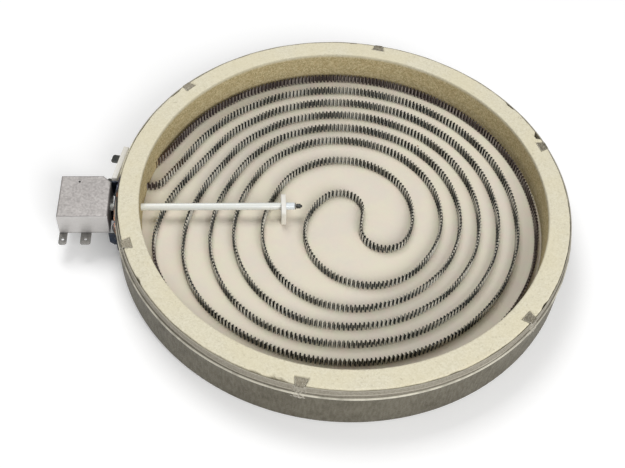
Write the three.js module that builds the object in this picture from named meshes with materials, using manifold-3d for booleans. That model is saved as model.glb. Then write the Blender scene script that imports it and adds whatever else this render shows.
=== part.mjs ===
// A radiant heating element for a glass-ceramic hob, with its rod-type temperature limiter.
// Millimetres, +Z up. The origin is the centre of the steel dish's flat underside. The limiter's
// rod lies along the X axis, and its switch head stands off the dish on the -X side.
import * as THREE from 'three';
import { mergeVertices } from 'three/addons/utils/BufferGeometryUtils.js';
import Module from 'manifold-3d';

// Driving dimensions.
const gap = 0.3; // clearance between pieces that touch
const past = 1; // how far a cutting shape runs past the face it opens
const facets = 72; // flats round a full turn of the large round pieces
const smallFacets = 24; // and of rivets, rods and holes

// The dish.
const dishRadius = 139;
const totalHeight = 34;
const sheet = 0.6; // steel of the dish and of the limiter's cover
const floorCorner = 2.5; // outer radius where the dish's floor turns up into its wall
const beadBelowTop = 7; // top of the bead under the dish's neck
const beadRise = 0.3;
const beadWidth = 0.3; // flat of the bead, between a slope of half a millimetre and the step to the neck
const beadSlope = 0.5;
const neckStep = 0.9; // height over which the bead steps in to the neck
const neckInset = 1.1; // the neck is this much narrower than the wall
const neckBelowTop = 0.8;
const floorGrooveRadius = 88;
const floorGrooveWidth = 7;
const floorGrooveDepth = 0.8;

// The insulation.
const baseThickness = 11.3; // pressed cake that carries the ribbon
const baseInset = 0.8; // cake's edge inside the dish's wall
const ringWidth = 12.7;
const ringChamfer = 0.8;

// The tongues of the dish that are folded over the ring.
const tabCount = 6;
const tabFirstAngle = 16.5;
const tabReach = 5.6;
const tabWidth = 7.8;
const tabWaist = 5;
const tabBelowTop = 0.5;
const tabRoot = 1; // a tongue's hold on the neck

// The heater ribbon.
const ribbonHeight = 8.4;
const ribbonProud = 5.4; // height of ribbon above the cake
const ribbonWidth = 2; // over the corrugation
const loopSpans = 5; // six loops, so five spaces between them
const loopPitch = 11.9;
const outerLoopInset = 3.5; // outermost loop to the ring's inner face
const eyeLoopInset = 17.8; // innermost of the six loops to the eye loop that runs into the S
const ribbonStep = 7; // degrees of turn between points of the path
const bendStep = 12; // and in its small bends
const loopLeft = -212; // angle where each loop ends on the left, going clockwise from the top
const easeEnds = [-157, -138, -117, -98, -80]; // where each shift between loops begins, from outside in

// The S at the centre: a small hook each way, joined by a straight, and a wide arc out to the loops.
const hookRadius = 14.6;
const hookAngle = -31;
const crestRadius = 13.7;
const wideRadius = 38.5;
const wideAngle = -52.1;
const crestAngle = 127.7;

// The ribbon's ends: one loop eases out to a terminal, the other turns in to a straight lead.
const runOutFrom = 150;
const runOutTo = 164.5;
const runOutClear = 1.5; // the ends stop this far short of their terminals
const leadClear = 0.93;
const leadAside = 2.25; // lead from the middle of its terminal
const leadTangent = 148;
const leadBend = 10;

// The limiter's tube, rod and standoff plate.
const tubeRadius = 2.25;
const tubeBore = 1.4;
const tubeAboveRibbon = 0.65;
const tubeSeat = 3.5; // tube's end inside the pillar
const rodRadius = 1;
const rodLead = 2.9; // rod beyond the tube's end in the pillar
const tipLength = 4.7; // rod beyond the tube's free end
const nutRadius = 1.6;
const nutLength = 2.6;
const collarRadius = 2.1;
const collarThickness = 0.5;
const plateThickness = 3;
const plateWidth = 16.8;
const plateCorner = 2;
const plateAboveRod = 2.9;
const plateInsideLoop = 3.9; // eye loop to the standoff plate
const plateBeyond = 5.3; // tube showing past the plate

// The limiter's head.
const headStandoff = 3.6; // dish wall to switch head
const rodAboveSlab = 3.5;
const slabThickness = 3.5;
const pillarLength = 9;
const pillarSide = 1.65; // ceramic beside the tube's seat
const pillarRoof = 2.45; // and above it
const roofRoom = 3.5; // pillar to the top of the cover
const rearRoom = 2.2; // cover's back beyond the rear rivet's head
const nearRoom = 1.5; // cover's sides beyond the posts
const farRoom = 5.3;
const coverChamfer = 5;
const ventRadius = 0.8;
const ventFromBack = 11.4;
const ventFromSide = 5;

const strip = 0.8; // steel strip of the terminals and the bracket
const wideBlade = 6.3;
const narrowBlade = 4.8;
const bladeLength = 8.4; // blade beyond the cover
const bladeHole = 0.9;
const bladeHoleFromEnd = 3.8;
const bladeNose = 1;
const wideBladeAt = 14.5; // blade's middle, from the cover's dish-side wall
const narrowBladeFromBack = 2.3; // blade's middle, from the cover's back wall

const travel = 0.8; // plunger stroke from cold to tripped
const plungerRadius = 1.5;
const plungerBody = 3.7;
const plungerTipRadius = 0.7;
const plungerTip = 6;
const armThickness = 0.3;
const armDepth = 4.4;
const pivotReach = 11; // rod's axis to an arm's pivot
const contactReach = 7; // rod's axis to an arm's contact
const armEnd = 1.5; // arm beyond its pivot and its contact
const contactRadius = 1.3;
const contactThickness = 0.8;
const postInside = 1.5; // posts and ears either side of the pivot or contact they carry
const postOutside = 1.9;
const earInside = 2;
const earOutside = 2.5;

// The heater's terminal block.
const blockAngle = 168; // its direction, degrees
const blockLip = 1.5; // flange beyond the body at each side
const blockHeight = 19;
const blockFlange = 3.3;
const blockOffDish = 0.4;
const blockWall = 1.05; // ceramic beside the terminals
const blockBodyHeight = 12;
const heaterBladeAboveRod = 2;
const heaterBladeSpacing = 15;
const heaterBladeStep = 6; // one blade sits this much lower than the other
const heaterBladeLength = 6.6;
const riserInset = 5; // ring's inner face to a terminal's riser
const riserFoot = 0.5; // riser's foot above the ring's bottom

// The limiter's bracket and the fasteners.
const saddleBottom = 3.5;
const saddleBelowBead = 1.5;
const saddleFrom = 173.8;
const saddleTo = 188.4;
const saddleStep = 3;
const tongueWidth = 8.4;
const tongueEdge = 1; // tongue beyond its rear rivet's head
// The bracket's lugs: side of the rod, reach out from the saddle's inner face, and heights.
const lugPlaces = [
  { aside: -17, reach: 3.9, bottom: 5.5, top: 16 },
  { aside: 15, reach: 4.2, bottom: 12, top: 27 },
];
const lugCut = 2.5; // taken off a lug's lower corner
const screwPlaces = [{ aside: -12.1, height: 15 }, { aside: 0, height: 7.5 }];
const screwHead = 2.7;
const screwHeadRim = 0.8; // height of the head's straight side, then of its slope
const screwShank = 1.3;
const screwTip = 0.4; // screw past the dish's inner face
const rivetShank = 1.2;
const rivetHead = 2.2;
const rivetHeadHeight = 0.7;
const rearRivetGap = 3.5; // rear rivet's middle behind the signal's ear

// Sizes that follow from them.
const dishInner = dishRadius - sheet;
const shoulderHeight = totalHeight - beadBelowTop;
const neckOuter = dishRadius - neckInset;
const neckInner = neckOuter - sheet;
const neckTop = totalHeight - neckBelowTop;
const ringOuter = neckInner - gap;
const ringInner = ringOuter - ringWidth;
const baseRadius = dishInner - baseInset;
const baseBottom = sheet + gap;
const baseTop = baseBottom + baseThickness;
const ribbonTop = baseTop + ribbonProud;
const ribbonBottom = ribbonTop - ribbonHeight;
const ringBottom = baseTop + gap;
const tabTop = totalHeight - tabBelowTop;
const tabBottom = tabTop - sheet;
const outerLoopRadius = ringInner - outerLoopInset;
const innerLoopRadius = outerLoopRadius - loopSpans * loopPitch;
const eyeLoopRadius = innerLoopRadius - eyeLoopInset;

const rodHeight = ribbonTop + tubeAboveRibbon + tubeRadius; // axis of the limiter's rod
const plateX0 = -(eyeLoopRadius - ribbonWidth / 2 - plateInsideLoop);
const plateX1 = plateX0 + plateThickness;
const tubeFree = plateX1 + plateBeyond; // the tube's end near the centre
const slabTop = rodHeight - rodAboveSlab;
const coverBottom = slabTop - slabThickness;
const pillarTop = rodHeight + tubeRadius + gap + pillarRoof;
const pillarHalf = tubeRadius + gap + pillarSide;
const coverTop = pillarTop + roofRoom;
const coverClear = sheet + gap;
const headFront = -(dishRadius + headStandoff); // the cover's dish-side wall
const pillarFront = headFront - coverClear;
const pillarBack = pillarFront - pillarLength;
const bladeTop = coverBottom - gap;
const bladeBottom = bladeTop - strip;

const tubeStart = pillarFront - tubeSeat;
const rodStart = tubeStart - rodLead;
const plungerStart = rodStart - gap;
const plungerShoulder = plungerStart - plungerBody;
const plungerTipEnd = plungerShoulder - plungerTip;
const limiterArmX = plungerShoulder - gap - armThickness / 2;
const signalArmX = plungerTipEnd - gap - armThickness / 2;
const limiterContactX = limiterArmX + armThickness / 2;
const signalContactX = signalArmX - armThickness / 2;
const contactSwing = travel * (pivotReach + contactReach) / pivotReach;
const limiterEarX = limiterContactX + 2 * contactThickness + 3 * gap;
const signalEarX = signalContactX - 2 * contactThickness - contactSwing - 3 * gap - strip;
const limiterPostX = limiterContactX - armThickness - gap - strip;
const signalPostX = signalContactX - gap - strip;
const postInner = pivotReach - postInside;
const postOuter = pivotReach + postOutside;
const postTop = rodHeight + armDepth / 2 + gap;
const earInner = contactReach - earInside;
const earOuter = contactReach + earOutside;

const frontRivetX = (limiterArmX + signalArmX) / 2;
const rearRivetX = signalEarX - rearRivetGap;
const rivetPlaces = [frontRivetX, rearRivetX];
const headBack = rearRivetX - rivetHead - rearRoom;
const headMinY = -(postOuter + nearRoom);
const headMaxY = postOuter + farRoom;
const wideX = headFront - wideBladeAt;
const narrowX = headBack + narrowBladeFromBack;

const heaterBladeHeight = rodHeight + heaterBladeAboveRod;
const heaterBladePlaces = [
  { aside: heaterBladeSpacing / 2, height: heaterBladeHeight - heaterBladeStep },
  { aside: -heaterBladeSpacing / 2, height: heaterBladeHeight },
];
const blockMiddle = heaterBladeHeight - heaterBladeStep / 2;
const riserDistance = ringInner + riserInset;
const blockBodyWidth = heaterBladeSpacing + wideBlade + 2 * (gap + blockWall);
const blockWidth = blockBodyWidth + 2 * blockLip;
const saddleInner = dishRadius + gap;
const saddleOuter = saddleInner + strip;
const radians = THREE.MathUtils.degToRad;

// The four uprights that stand through the slab: x, and the reach from the rod's axis.
const uprights = {
  limiterEar: { x: limiterEarX, y0: -earOuter, y1: -earInner },
  limiterPost: { x: limiterPostX, y0: postInner, y1: postOuter },
  signalPost: { x: signalPostX, y0: -postOuter, y1: -postInner },
  signalEar: { x: signalEarX, y0: earInner, y1: earOuter },
};

const wasm = await Module();
wasm.setup();

// A closed geometry as a solid that can be joined and cut, its shared corners merged.
function toSolid(geometry) {
  const bare = new THREE.BufferGeometry();
  const loose = geometry.index ? geometry.toNonIndexed() : geometry;
  bare.setAttribute('position', loose.getAttribute('position'));
  const merged = mergeVertices(bare, 1e-4);
  return new wasm.Manifold(new wasm.Mesh({
    numProp: 3,
    vertProperties: merged.getAttribute('position').array,
    triVerts: new Uint32Array(merged.index.array),
  }));
}

function toGeometry(solid) {
  const mesh = solid.getMesh();
  const geometry = new THREE.BufferGeometry();
  geometry.setAttribute('position', new THREE.BufferAttribute(mesh.vertProperties, 3));
  geometry.setIndex(new THREE.BufferAttribute(mesh.triVerts, 1));
  const loose = geometry.toNonIndexed();
  loose.computeVertexNormals();
  return loose;
}

const join = (...shapes) => toGeometry(shapes.map(toSolid).reduce((a, b) => a.add(b)));
const cut = (body, ...tools) => toGeometry(
  tools.map(toSolid).reduce((a, b) => a.subtract(b), toSolid(body)),
);

// A box from its lowest to its highest corner.
function box(x0, x1, y0, y1, z0, z1) {
  const geometry = new THREE.BoxGeometry(x1 - x0, y1 - y0, z1 - z0);
  return geometry.translate((x0 + x1) / 2, (y0 + y1) / 2, (z0 + z1) / 2);
}

// An outline in the XY plane, raised from z0 to z1.
function prism(points, z0, z1, holes = []) {
  const shape = new THREE.Shape(points);
  shape.holes = holes.map((hole) => new THREE.Path(hole));
  const geometry = new THREE.ExtrudeGeometry(shape, { depth: z1 - z0, bevelEnabled: false });
  return geometry.translate(0, 0, z0);
}

// A profile of [radius, height] turned about the Z axis.
function turned(profile, segments = facets) {
  const points = profile.map(([radius, height]) => new THREE.Vector2(radius, height));
  return new THREE.LatheGeometry(points, segments).rotateX(Math.PI / 2);
}

// A round bar of [radius, x] steps along the X axis, at the rod's height.
function turnedAlongX(profile, y = 0, segments = smallFacets) {
  return turned(profile, segments).rotateY(Math.PI / 2).translate(0, y, rodHeight);
}

// The steps of a plain bar or bore along the X axis.
const bar = (radius, x0, x1) => [[0, x0], [radius, x0], [radius, x1], [0, x1]];

function polar(radius, degrees) {
  return new THREE.Vector2(radius * Math.cos(radians(degrees)), radius * Math.sin(radians(degrees)));
}

// Points along an arc about a centre, from one angle to another, in equal turns of at most one step.
function arc(centre, radius, from, to, step = ribbonStep) {
  const count = Math.max(2, Math.ceil(Math.abs(to - from) / step));
  const points = [];
  for (let i = 0; i <= count; i += 1) {
    points.push(polar(radius, from + (to - from) * i / count).add(centre));
  }
  return points;
}

// Points of a round pipe's quarter corner in a turned profile.
function corner(radius, centreRadius, centreHeight, from, to) {
  return arc(new THREE.Vector2(centreRadius, centreHeight), radius, from, to, 30)
    .map((point) => [point.x, point.y]);
}

function piece(name, geometry, finish) {
  const mesh = new THREE.Mesh(geometry, new THREE.MeshStandardMaterial(finish));
  mesh.name = name;
  return mesh;
}

const finishes = {
  patinatedSteel: { color: 0x857d6c, roughness: 0.5, metalness: 0.7 },
  cake: { color: 0xe1d9cb, roughness: 0.95, metalness: 0 },
  vermiculite: { color: 0xe6dfc6, roughness: 0.95, metalness: 0 },
  ribbonAlloy: { color: 0x3a3638, roughness: 0.55, metalness: 0.6 },
  steatite: { color: 0xece9e0, roughness: 0.45, metalness: 0 },
  tubeCeramic: { color: 0xf2f1ea, roughness: 0.35, metalness: 0 },
  coverSteel: { color: 0xaaa5a2, roughness: 0.45, metalness: 0.7 },
  plainSteel: { color: 0x8c8a88, roughness: 0.4, metalness: 0.9 },
  oxidisedSteel: { color: 0x34342f, roughness: 0.55, metalness: 0.7 },
  springBronze: { color: 0xb08a52, roughness: 0.35, metalness: 0.9 },
  silverAlloy: { color: 0xd0d0d0, roughness: 0.3, metalness: 1 },
};

// The angles at which the dish's tongues are folded over the ring.
const tabAngles = Array.from({ length: tabCount }, (_, i) => tabFirstAngle + i * 360 / tabCount);

// A tongue seen from above: wide at its inner end, narrow where it leaves the neck.
function tabOutline(clearance) {
  const inner = neckOuter - tabReach - clearance;
  const outer = neckOuter + (clearance ? past : 0);
  const halfEnd = tabWidth / 2 + clearance;
  const halfWaist = tabWaist / 2 + clearance;
  return [
    new THREE.Vector2(inner, -halfEnd),
    new THREE.Vector2(outer, -halfWaist),
    new THREE.Vector2(outer, halfWaist),
    new THREE.Vector2(inner, halfEnd),
  ];
}

function tab(angle) {
  const leaf = prism(tabOutline(0), tabBottom, tabTop);
  const root = box(neckInner, neckOuter, -tabWaist / 2, tabWaist / 2, neckTop - tabRoot, tabTop);
  return join(leaf, root).rotateZ(radians(angle));
}

// The opening for the limiter's tube, cut along the X axis through whatever lies between two radii.
const tubeOpening = (clearance, from, to) => turnedAlongX(bar(tubeRadius + clearance, -to, -from));

// Turns a shape that was drawn on the +X axis to the terminal block's direction.
const towardsBlock = (geometry) => geometry.rotateZ(radians(blockAngle));

function blockOpening(inner, outer) {
  const halfWidth = blockBodyWidth / 2 + gap;
  const halfHeight = blockBodyHeight / 2 + gap;
  const low = blockMiddle - halfHeight;
  const high = blockMiddle + halfHeight;
  return towardsBlock(box(inner, outer, -halfWidth, halfWidth, low, high));
}

// The turn from the +X side to a place in the dish's wall, that far aside of the rod.
const towardsHead = (aside) => Math.PI - Math.asin(aside / dishRadius);

// A hole for a bracket screw, through the dish's wall and the bracket.
function screwHole({ aside, height }) {
  const hole = turned(bar(screwShank + gap, dishInner - past, saddleOuter + past), smallFacets);
  return hole.rotateY(Math.PI / 2).translate(0, 0, height).rotateZ(towardsHead(aside));
}

function dishGeometry() {
  const grooveInner = floorGrooveRadius - floorGrooveWidth / 2;
  const grooveOuter = floorGrooveRadius + floorGrooveWidth / 2;
  const slope = floorGrooveDepth;
  const innerCorner = floorCorner - sheet;
  const profile = [
    [0, 0],
    [grooveInner, 0],
    [grooveInner + slope, floorGrooveDepth],
    [grooveOuter - slope, floorGrooveDepth],
    [grooveOuter, 0],
    ...corner(floorCorner, dishRadius - floorCorner, floorCorner, -90, 0),
    [dishRadius, shoulderHeight - beadWidth - beadSlope],
    [dishRadius + beadRise, shoulderHeight - beadWidth],
    [dishRadius + beadRise, shoulderHeight],
    [neckOuter, shoulderHeight + neckStep],
    [neckOuter, neckTop],
    [neckInner, neckTop],
    [neckInner, shoulderHeight + beadSlope],
    [dishInner, shoulderHeight - beadSlope],
    ...corner(innerCorner, dishRadius - floorCorner, floorCorner, 0, -90),
    [grooveOuter, sheet],
    [grooveOuter - slope, sheet + floorGrooveDepth],
    [grooveInner + slope, sheet + floorGrooveDepth],
    [grooveInner, sheet],
    [0, sheet],
  ];
  const shell = join(turned(profile), ...tabAngles.map(tab));
  return cut(
    shell,
    tubeOpening(2 * gap, neckInner - past, dishRadius + beadRise + past),
    blockOpening(neckInner - past, dishRadius + beadRise + past),
    ...screwPlaces.map(screwHole),
  );
}

// A loop that eases from one radius to another while it turns.
function easing(fromRadius, toRadius, from, to) {
  const count = Math.ceil(Math.abs(to - from) / ribbonStep);
  const points = [];
  for (let i = 0; i <= count; i += 1) {
    const share = i / count;
    const eased = share * share * (3 - 2 * share);
    points.push(polar(fromRadius + (toRadius - fromRadius) * eased, from + (to - from) * share));
  }
  return points;
}

const centre = new THREE.Vector2(0, 0);
const loopRadius = (k) => innerLoopRadius + k * loopPitch;

// The S at the ribbon's centre, from the eye loop to the innermost of the six.
function eyePoints() {
  const hookCentre = polar(eyeLoopRadius - hookRadius, hookAngle);
  const wideCentre = polar(innerLoopRadius - wideRadius, wideAngle);
  const crestCentre = polar(wideRadius - crestRadius, crestAngle).add(wideCentre);
  const between = hookCentre.clone().sub(crestCentre);
  const lean = THREE.MathUtils.radToDeg(Math.acos((crestRadius + hookRadius) / between.length()));
  const heading = THREE.MathUtils.radToDeg(Math.atan2(between.y, between.x));
  const crossing = heading + lean; // direction from the crest's centre to the straight
  return [
    ...arc(centre, eyeLoopRadius, loopLeft + 360, hookAngle),
    ...arc(hookCentre, hookRadius, hookAngle, crossing - 180, bendStep).slice(1),
    ...arc(crestCentre, crestRadius, crossing, crestAngle, bendStep),
    ...arc(wideCentre, wideRadius, crestAngle, wideAngle + 360).slice(1),
  ];
}

// The outermost loop's end, easing out to its terminal's riser.
function outerEnd() {
  const points = [];
  const count = 2 * Math.ceil((runOutTo - runOutFrom) / ribbonStep);
  const runOut = riserDistance - runOutClear - outerLoopRadius;
  for (let i = 0; i <= count; i += 1) {
    const share = 1 - i / count;
    const angle = runOutFrom + (runOutTo - runOutFrom) * share;
    points.push(polar(outerLoopRadius + runOut * share * share, angle));
  }
  return points;
}

// The next loop's end: it turns in on a bend to a straight lead that points at the other riser.
function innerEnd() {
  const riser = new THREE.Vector2(riserDistance - leadClear, heaterBladeSpacing / 2);
  riser.rotateAround(centre, radians(blockAngle));
  const leadY = riser.y + leadAside;
  const leadEnd = riser.x;
  const touch = polar(loopRadius(4), leadTangent);
  const heading = leadTangent - 90;
  const along = (touch.y - leadY) / Math.sin(radians(heading));
  const cornerX = touch.x - along * Math.cos(radians(heading));
  const bendStart = cornerX - leadBend * Math.tan(radians(heading / 2));
  const bendCentre = new THREE.Vector2(bendStart, leadY + leadBend);
  return [
    new THREE.Vector2(leadEnd, leadY),
    ...arc(bendCentre, leadBend, -90, heading - 90, bendStep),
    touch,
  ].reverse();
}

// The whole ribbon in one line: inwards clockwise on every second loop, through the S, and out again.
function ribbonPath() {
  const k = loopRadius;
  const left = loopLeft + 360;
  return [
    ...outerEnd(),
    ...arc(centre, k(loopSpans), runOutFrom, easeEnds[0]).slice(1),
    ...easing(k(loopSpans), k(3), easeEnds[0], loopLeft).slice(1),
    ...arc(centre, k(3), left, easeEnds[2]).slice(1),
    ...easing(k(3), k(1), easeEnds[2], loopLeft).slice(1),
    ...arc(centre, k(1), left, easeEnds[4]).slice(1),
    ...easing(k(1), eyeLoopRadius, easeEnds[4], loopLeft).slice(1),
    ...eyePoints().slice(1),
    ...arc(centre, k(0), wideAngle, left).slice(1),
    ...easing(k(0), k(2), left, easeEnds[3] + 360).slice(1),
    ...arc(centre, k(2), easeEnds[3] + 360, left + 360).slice(1),
    ...easing(k(2), k(4), left, easeEnds[1] + 360).slice(1),
    ...arc(centre, k(4), easeEnds[1] + 360, leadTangent + 360).slice(1),
    ...innerEnd().slice(1),
  ];
}

// The strip that a path makes when it is given a width, as an outline.
function stripOutline(path, halfWidth, beyond = 0) {
  const left = [];
  const right = [];
  path.forEach((point, i) => {
    const before = path[Math.max(0, i - 1)];
    const after = path[Math.min(path.length - 1, i + 1)];
    const way = after.clone().sub(before).normalize();
    const end = (i === path.length - 1) - (i === 0);
    const base = point.clone().addScaledVector(way, beyond * end);
    const side = new THREE.Vector2(-way.y, way.x).multiplyScalar(halfWidth);
    left.push(base.clone().add(side));
    right.push(base.clone().sub(side));
  });
  return [...right, ...left.reverse()];
}

const path = ribbonPath();

function ribbonGeometry() {
  return prism(stripOutline(path, ribbonWidth / 2), ribbonBottom, ribbonTop);
}

function baseGeometry() {
  const grooveInner = floorGrooveRadius - floorGrooveWidth / 2 - gap;
  const grooveOuter = floorGrooveRadius + floorGrooveWidth / 2 + gap;
  const profile = [
    [0, baseBottom],
    [grooveInner, baseBottom],
    [grooveInner, baseBottom + floorGrooveDepth],
    [grooveOuter, baseBottom + floorGrooveDepth],
    [grooveOuter, baseBottom],
    [baseRadius - floorCorner, baseBottom],
    [baseRadius, baseBottom + floorCorner],
    [baseRadius, baseTop],
    [0, baseTop],
  ];
  const groove = prism(stripOutline(path, ribbonWidth / 2 + gap, gap), ribbonBottom - gap, baseTop + past);
  return cut(turned(profile), groove);
}

// A shaft in the ring for the riser of a heater terminal.
function riserShaft({ aside, height }) {
  const half = wideBlade / 2 + gap;
  const top = height + strip / 2 + gap;
  return towardsBlock(box(
    riserDistance - gap, riserDistance + strip + past, aside - half, aside + half, 0, top,
  ));
}

function ringGeometry() {
  const profile = [
    [ringInner, ringBottom],
    [ringOuter, ringBottom],
    [ringOuter, totalHeight - ringChamfer],
    [ringOuter - ringChamfer, totalHeight],
    [ringInner + ringChamfer, totalHeight],
    [ringInner, totalHeight - ringChamfer],
    [ringInner, ringBottom],
  ];
  const seats = tabAngles.map((angle) => (
    prism(tabOutline(gap), tabBottom - gap, totalHeight + past).rotateZ(radians(angle))
  ));
  const ribbonWay = prism(stripOutline(path, ribbonWidth / 2 + gap, gap), 0, ribbonTop + gap);
  return cut(
    turned(profile),
    tubeOpening(gap, ringInner - past, ringOuter + past),
    blockOpening(riserDistance + strip + gap, ringOuter + past),
    ...heaterBladePlaces.map(riserShaft),
    ribbonWay,
    ...seats,
  );
}

function buildHeater() {
  const group = new THREE.Group();
  group.add(
    piece('dish', dishGeometry(), finishes.patinatedSteel),
    piece('base_insulation', baseGeometry(), finishes.cake),
    piece('insulation_ring', ringGeometry(), finishes.vermiculite),
    piece('heater_ribbon', ribbonGeometry(), finishes.ribbonAlloy),
  );
  return group;
}

// A blade lying flat along +Y from y0 to y1 with two corners taken off its end and a round hole.
function bladeOutline(x, width, y0, y1) {
  const half = width / 2;
  return [
    new THREE.Vector2(x - half, y0),
    new THREE.Vector2(x + half, y0),
    new THREE.Vector2(x + half, y1 - bladeNose),
    new THREE.Vector2(x + half - bladeNose, y1),
    new THREE.Vector2(x - half + bladeNose, y1),
    new THREE.Vector2(x - half, y1 - bladeNose),
  ];
}

function blade(x, width, y0, y1, z0, z1) {
  const hole = arc(new THREE.Vector2(x, y1 - bladeHoleFromEnd), bladeHole, 0, 345, 15);
  return prism(bladeOutline(x, width, y0, y1), z0, z1, [hole]);
}

// The heater's terminals, in a frame whose X axis points out through the middle of the block.
function buildHeaterTerminals() {
  const group = new THREE.Group();
  group.rotation.z = radians(blockAngle);
  const flangeBack = dishRadius + beadRise + blockOffDish;
  const flangeFront = flangeBack + blockFlange;
  const bodyFront = riserDistance + strip + gap + gap;
  const halfBody = blockBodyHeight / 2;
  const halfStrip = strip / 2;
  const slotHalf = wideBlade / 2 + gap;
  const slots = heaterBladePlaces.map(({ aside, height }) => box(
    bodyFront - past, flangeFront + past, aside - slotHalf, aside + slotHalf,
    height - halfStrip - gap, height + halfStrip + gap,
  ));
  const body = join(
    box(
      flangeBack, flangeFront, -blockWidth / 2, blockWidth / 2,
      blockMiddle - blockHeight / 2, blockMiddle + blockHeight / 2,
    ),
    box(
      bodyFront, flangeBack + past, -blockBodyWidth / 2, blockBodyWidth / 2,
      blockMiddle - halfBody, blockMiddle + halfBody,
    ),
  );
  group.add(piece('terminal_block', cut(body, ...slots), finishes.steatite));
  heaterBladePlaces.forEach(({ aside, height }, i) => {
    const outline = bladeOutline(0, wideBlade, riserDistance, flangeFront + heaterBladeLength);
    const flat = prism(outline, height - halfStrip, height + halfStrip);
    flat.rotateZ(-Math.PI / 2).translate(0, aside, 0);
    const riser = box(
      riserDistance, riserDistance + strip, aside - wideBlade / 2, aside + wideBlade / 2,
      ringBottom + riserFoot, height + halfStrip,
    );
    group.add(piece(`heater_terminal_${i + 1}`, join(flat, riser), finishes.oxidisedSteel));
  });
  return group;
}

function buildRod() {
  const group = new THREE.Group();
  const plateTop = rodHeight + plateAboveRod;
  const tube = cut(
    turnedAlongX(bar(tubeRadius, tubeStart, tubeFree)),
    turnedAlongX(bar(tubeBore, tubeStart - past, tubeFree + past)),
  );
  const half = plateWidth / 2;
  const round = plateCorner;
  const side = [
    new THREE.Vector2(-half, baseTop + gap),
    new THREE.Vector2(half, baseTop + gap),
    ...arc(new THREE.Vector2(half - round, plateTop - round), round, 0, 90, 30),
    ...arc(new THREE.Vector2(round - half, plateTop - round), round, 90, 180, 30),
  ];
  const plate = prism(side, 0, plateThickness).rotateX(Math.PI / 2).rotateZ(Math.PI / 2);
  plate.translate(plateX0, 0, 0);
  const collarStart = tubeFree + gap;
  const nutStart = collarStart + collarThickness + gap;
  const seatedPlate = cut(plate, tubeOpening(gap, -plateX1 - past, -plateX0 + past));
  const rod = turnedAlongX(bar(rodRadius, rodStart, tubeFree + tipLength));
  const collar = cut(
    turnedAlongX(bar(collarRadius, collarStart, collarStart + collarThickness)),
    turnedAlongX(bar(rodRadius + gap, collarStart - past, nutStart)),
  );
  const nut = cut(
    turnedAlongX(bar(nutRadius, nutStart, nutStart + nutLength), 0, 6),
    turnedAlongX(bar(rodRadius + gap / 2, nutStart - past, nutStart + nutLength + past)),
  );
  group.add(
    piece('limiter_tube', tube, finishes.tubeCeramic),
    piece('standoff_plate', seatedPlate, finishes.steatite),
    piece('end_collar', collar, finishes.plainSteel),
    piece('expansion_rod', rod, finishes.oxidisedSteel),
    piece('rod_nut', nut, finishes.oxidisedSteel),
  );
  return group;
}

// The cover's outline from above, drawn in by a clearance. The corner by the heater's terminals is cut off.
function coverOutline(inset) {
  const x0 = headBack + inset;
  const x1 = headFront - inset;
  const y0 = headMinY + inset;
  const y1 = headMaxY - inset;
  const chamfer = coverChamfer - inset * (2 - Math.SQRT2);
  return [
    new THREE.Vector2(x0, y0),
    new THREE.Vector2(x1, y0),
    new THREE.Vector2(x1, y1 - chamfer),
    new THREE.Vector2(x1 - chamfer, y1),
    new THREE.Vector2(x0, y1),
  ];
}

function coverGeometry() {
  const shell = prism(coverOutline(0), coverBottom, coverTop);
  const hollow = prism(coverOutline(sheet), coverBottom - past, coverTop - sheet);
  const half = tubeRadius + 2 * gap;
  const notch = box(headFront - past, headFront + past, -half, half, coverBottom - past, rodHeight);
  const arch = turnedAlongX(bar(half, headFront - past, headFront + past));
  const vent = turned(bar(ventRadius, coverTop - sheet - past, coverTop + past), smallFacets);
  vent.translate(headBack + ventFromBack, headMaxY - ventFromSide, 0);
  return cut(shell, hollow, notch, arch, vent);
}

function slabGeometry() {
  const slab = prism(coverOutline(coverClear), coverBottom, slabTop);
  const pillar = box(pillarBack, pillarFront, -pillarHalf, pillarHalf, coverBottom, pillarTop);
  const seat = turnedAlongX(bar(tubeRadius + gap, tubeStart - gap, pillarFront + past));
  const bore = turnedAlongX(bar(plungerRadius + gap, pillarBack - past, pillarFront));
  const slots = Object.values(uprights).map(({ x, y0, y1 }) => (
    box(x - gap, x + strip + gap, y0 - gap, y1 + gap, coverBottom - past, slabTop + past)
  ));
  const rivetHoles = rivetPlaces.map((x) => (
    turned(bar(rivetShank + gap, coverBottom - past, slabTop + past), smallFacets).translate(x, 0, 0)
  ));
  return cut(join(slab, pillar), seat, bore, ...slots, ...rivetHoles);
}

// A terminal: a blade out past the cover, a foot under the slab, and an upright through it.
function terminal(name, bladeX, bladeWidth, side, upright, holeReach) {
  const { x, y0, y1 } = upright;
  const edge = side > 0 ? headMaxY : -headMinY;
  const near = Math.min(Math.abs(y0), Math.abs(y1));
  const flat = blade(bladeX, bladeWidth, near, edge + bladeLength, bladeBottom, bladeTop);
  if (side < 0) flat.rotateX(Math.PI).translate(0, 0, bladeBottom + bladeTop);
  const foot = box(
    Math.min(x, bladeX - bladeWidth / 2), Math.max(x + strip, bladeX + bladeWidth / 2),
    y0, y1, bladeBottom, bladeTop,
  );
  const stand = box(x, x + strip, y0, y1, bladeBottom, postTop);
  const hole = turnedAlongX(bar(rivetShank / 2 + gap, x - past, x + strip + past), side * holeReach);
  return piece(name, cut(join(flat, foot, stand), hole), finishes.plainSteel);
}

function armGeometry(x, side) {
  const far = side * (pivotReach + armEnd);
  const near = -side * (contactReach + armEnd);
  const leaf = box(
    x - armThickness / 2, x + armThickness / 2, Math.min(far, near), Math.max(far, near),
    rodHeight - armDepth / 2, rodHeight + armDepth / 2,
  );
  const hole = (y, radius) => turnedAlongX(bar(radius, x - past, x + past), y);
  const tipHole = side > 0 ? [hole(0, plungerTipRadius + 2 * gap)] : [];
  return cut(leaf, hole(side * pivotReach, rivetShank / 2 + gap), ...tipHole);
}

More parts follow.
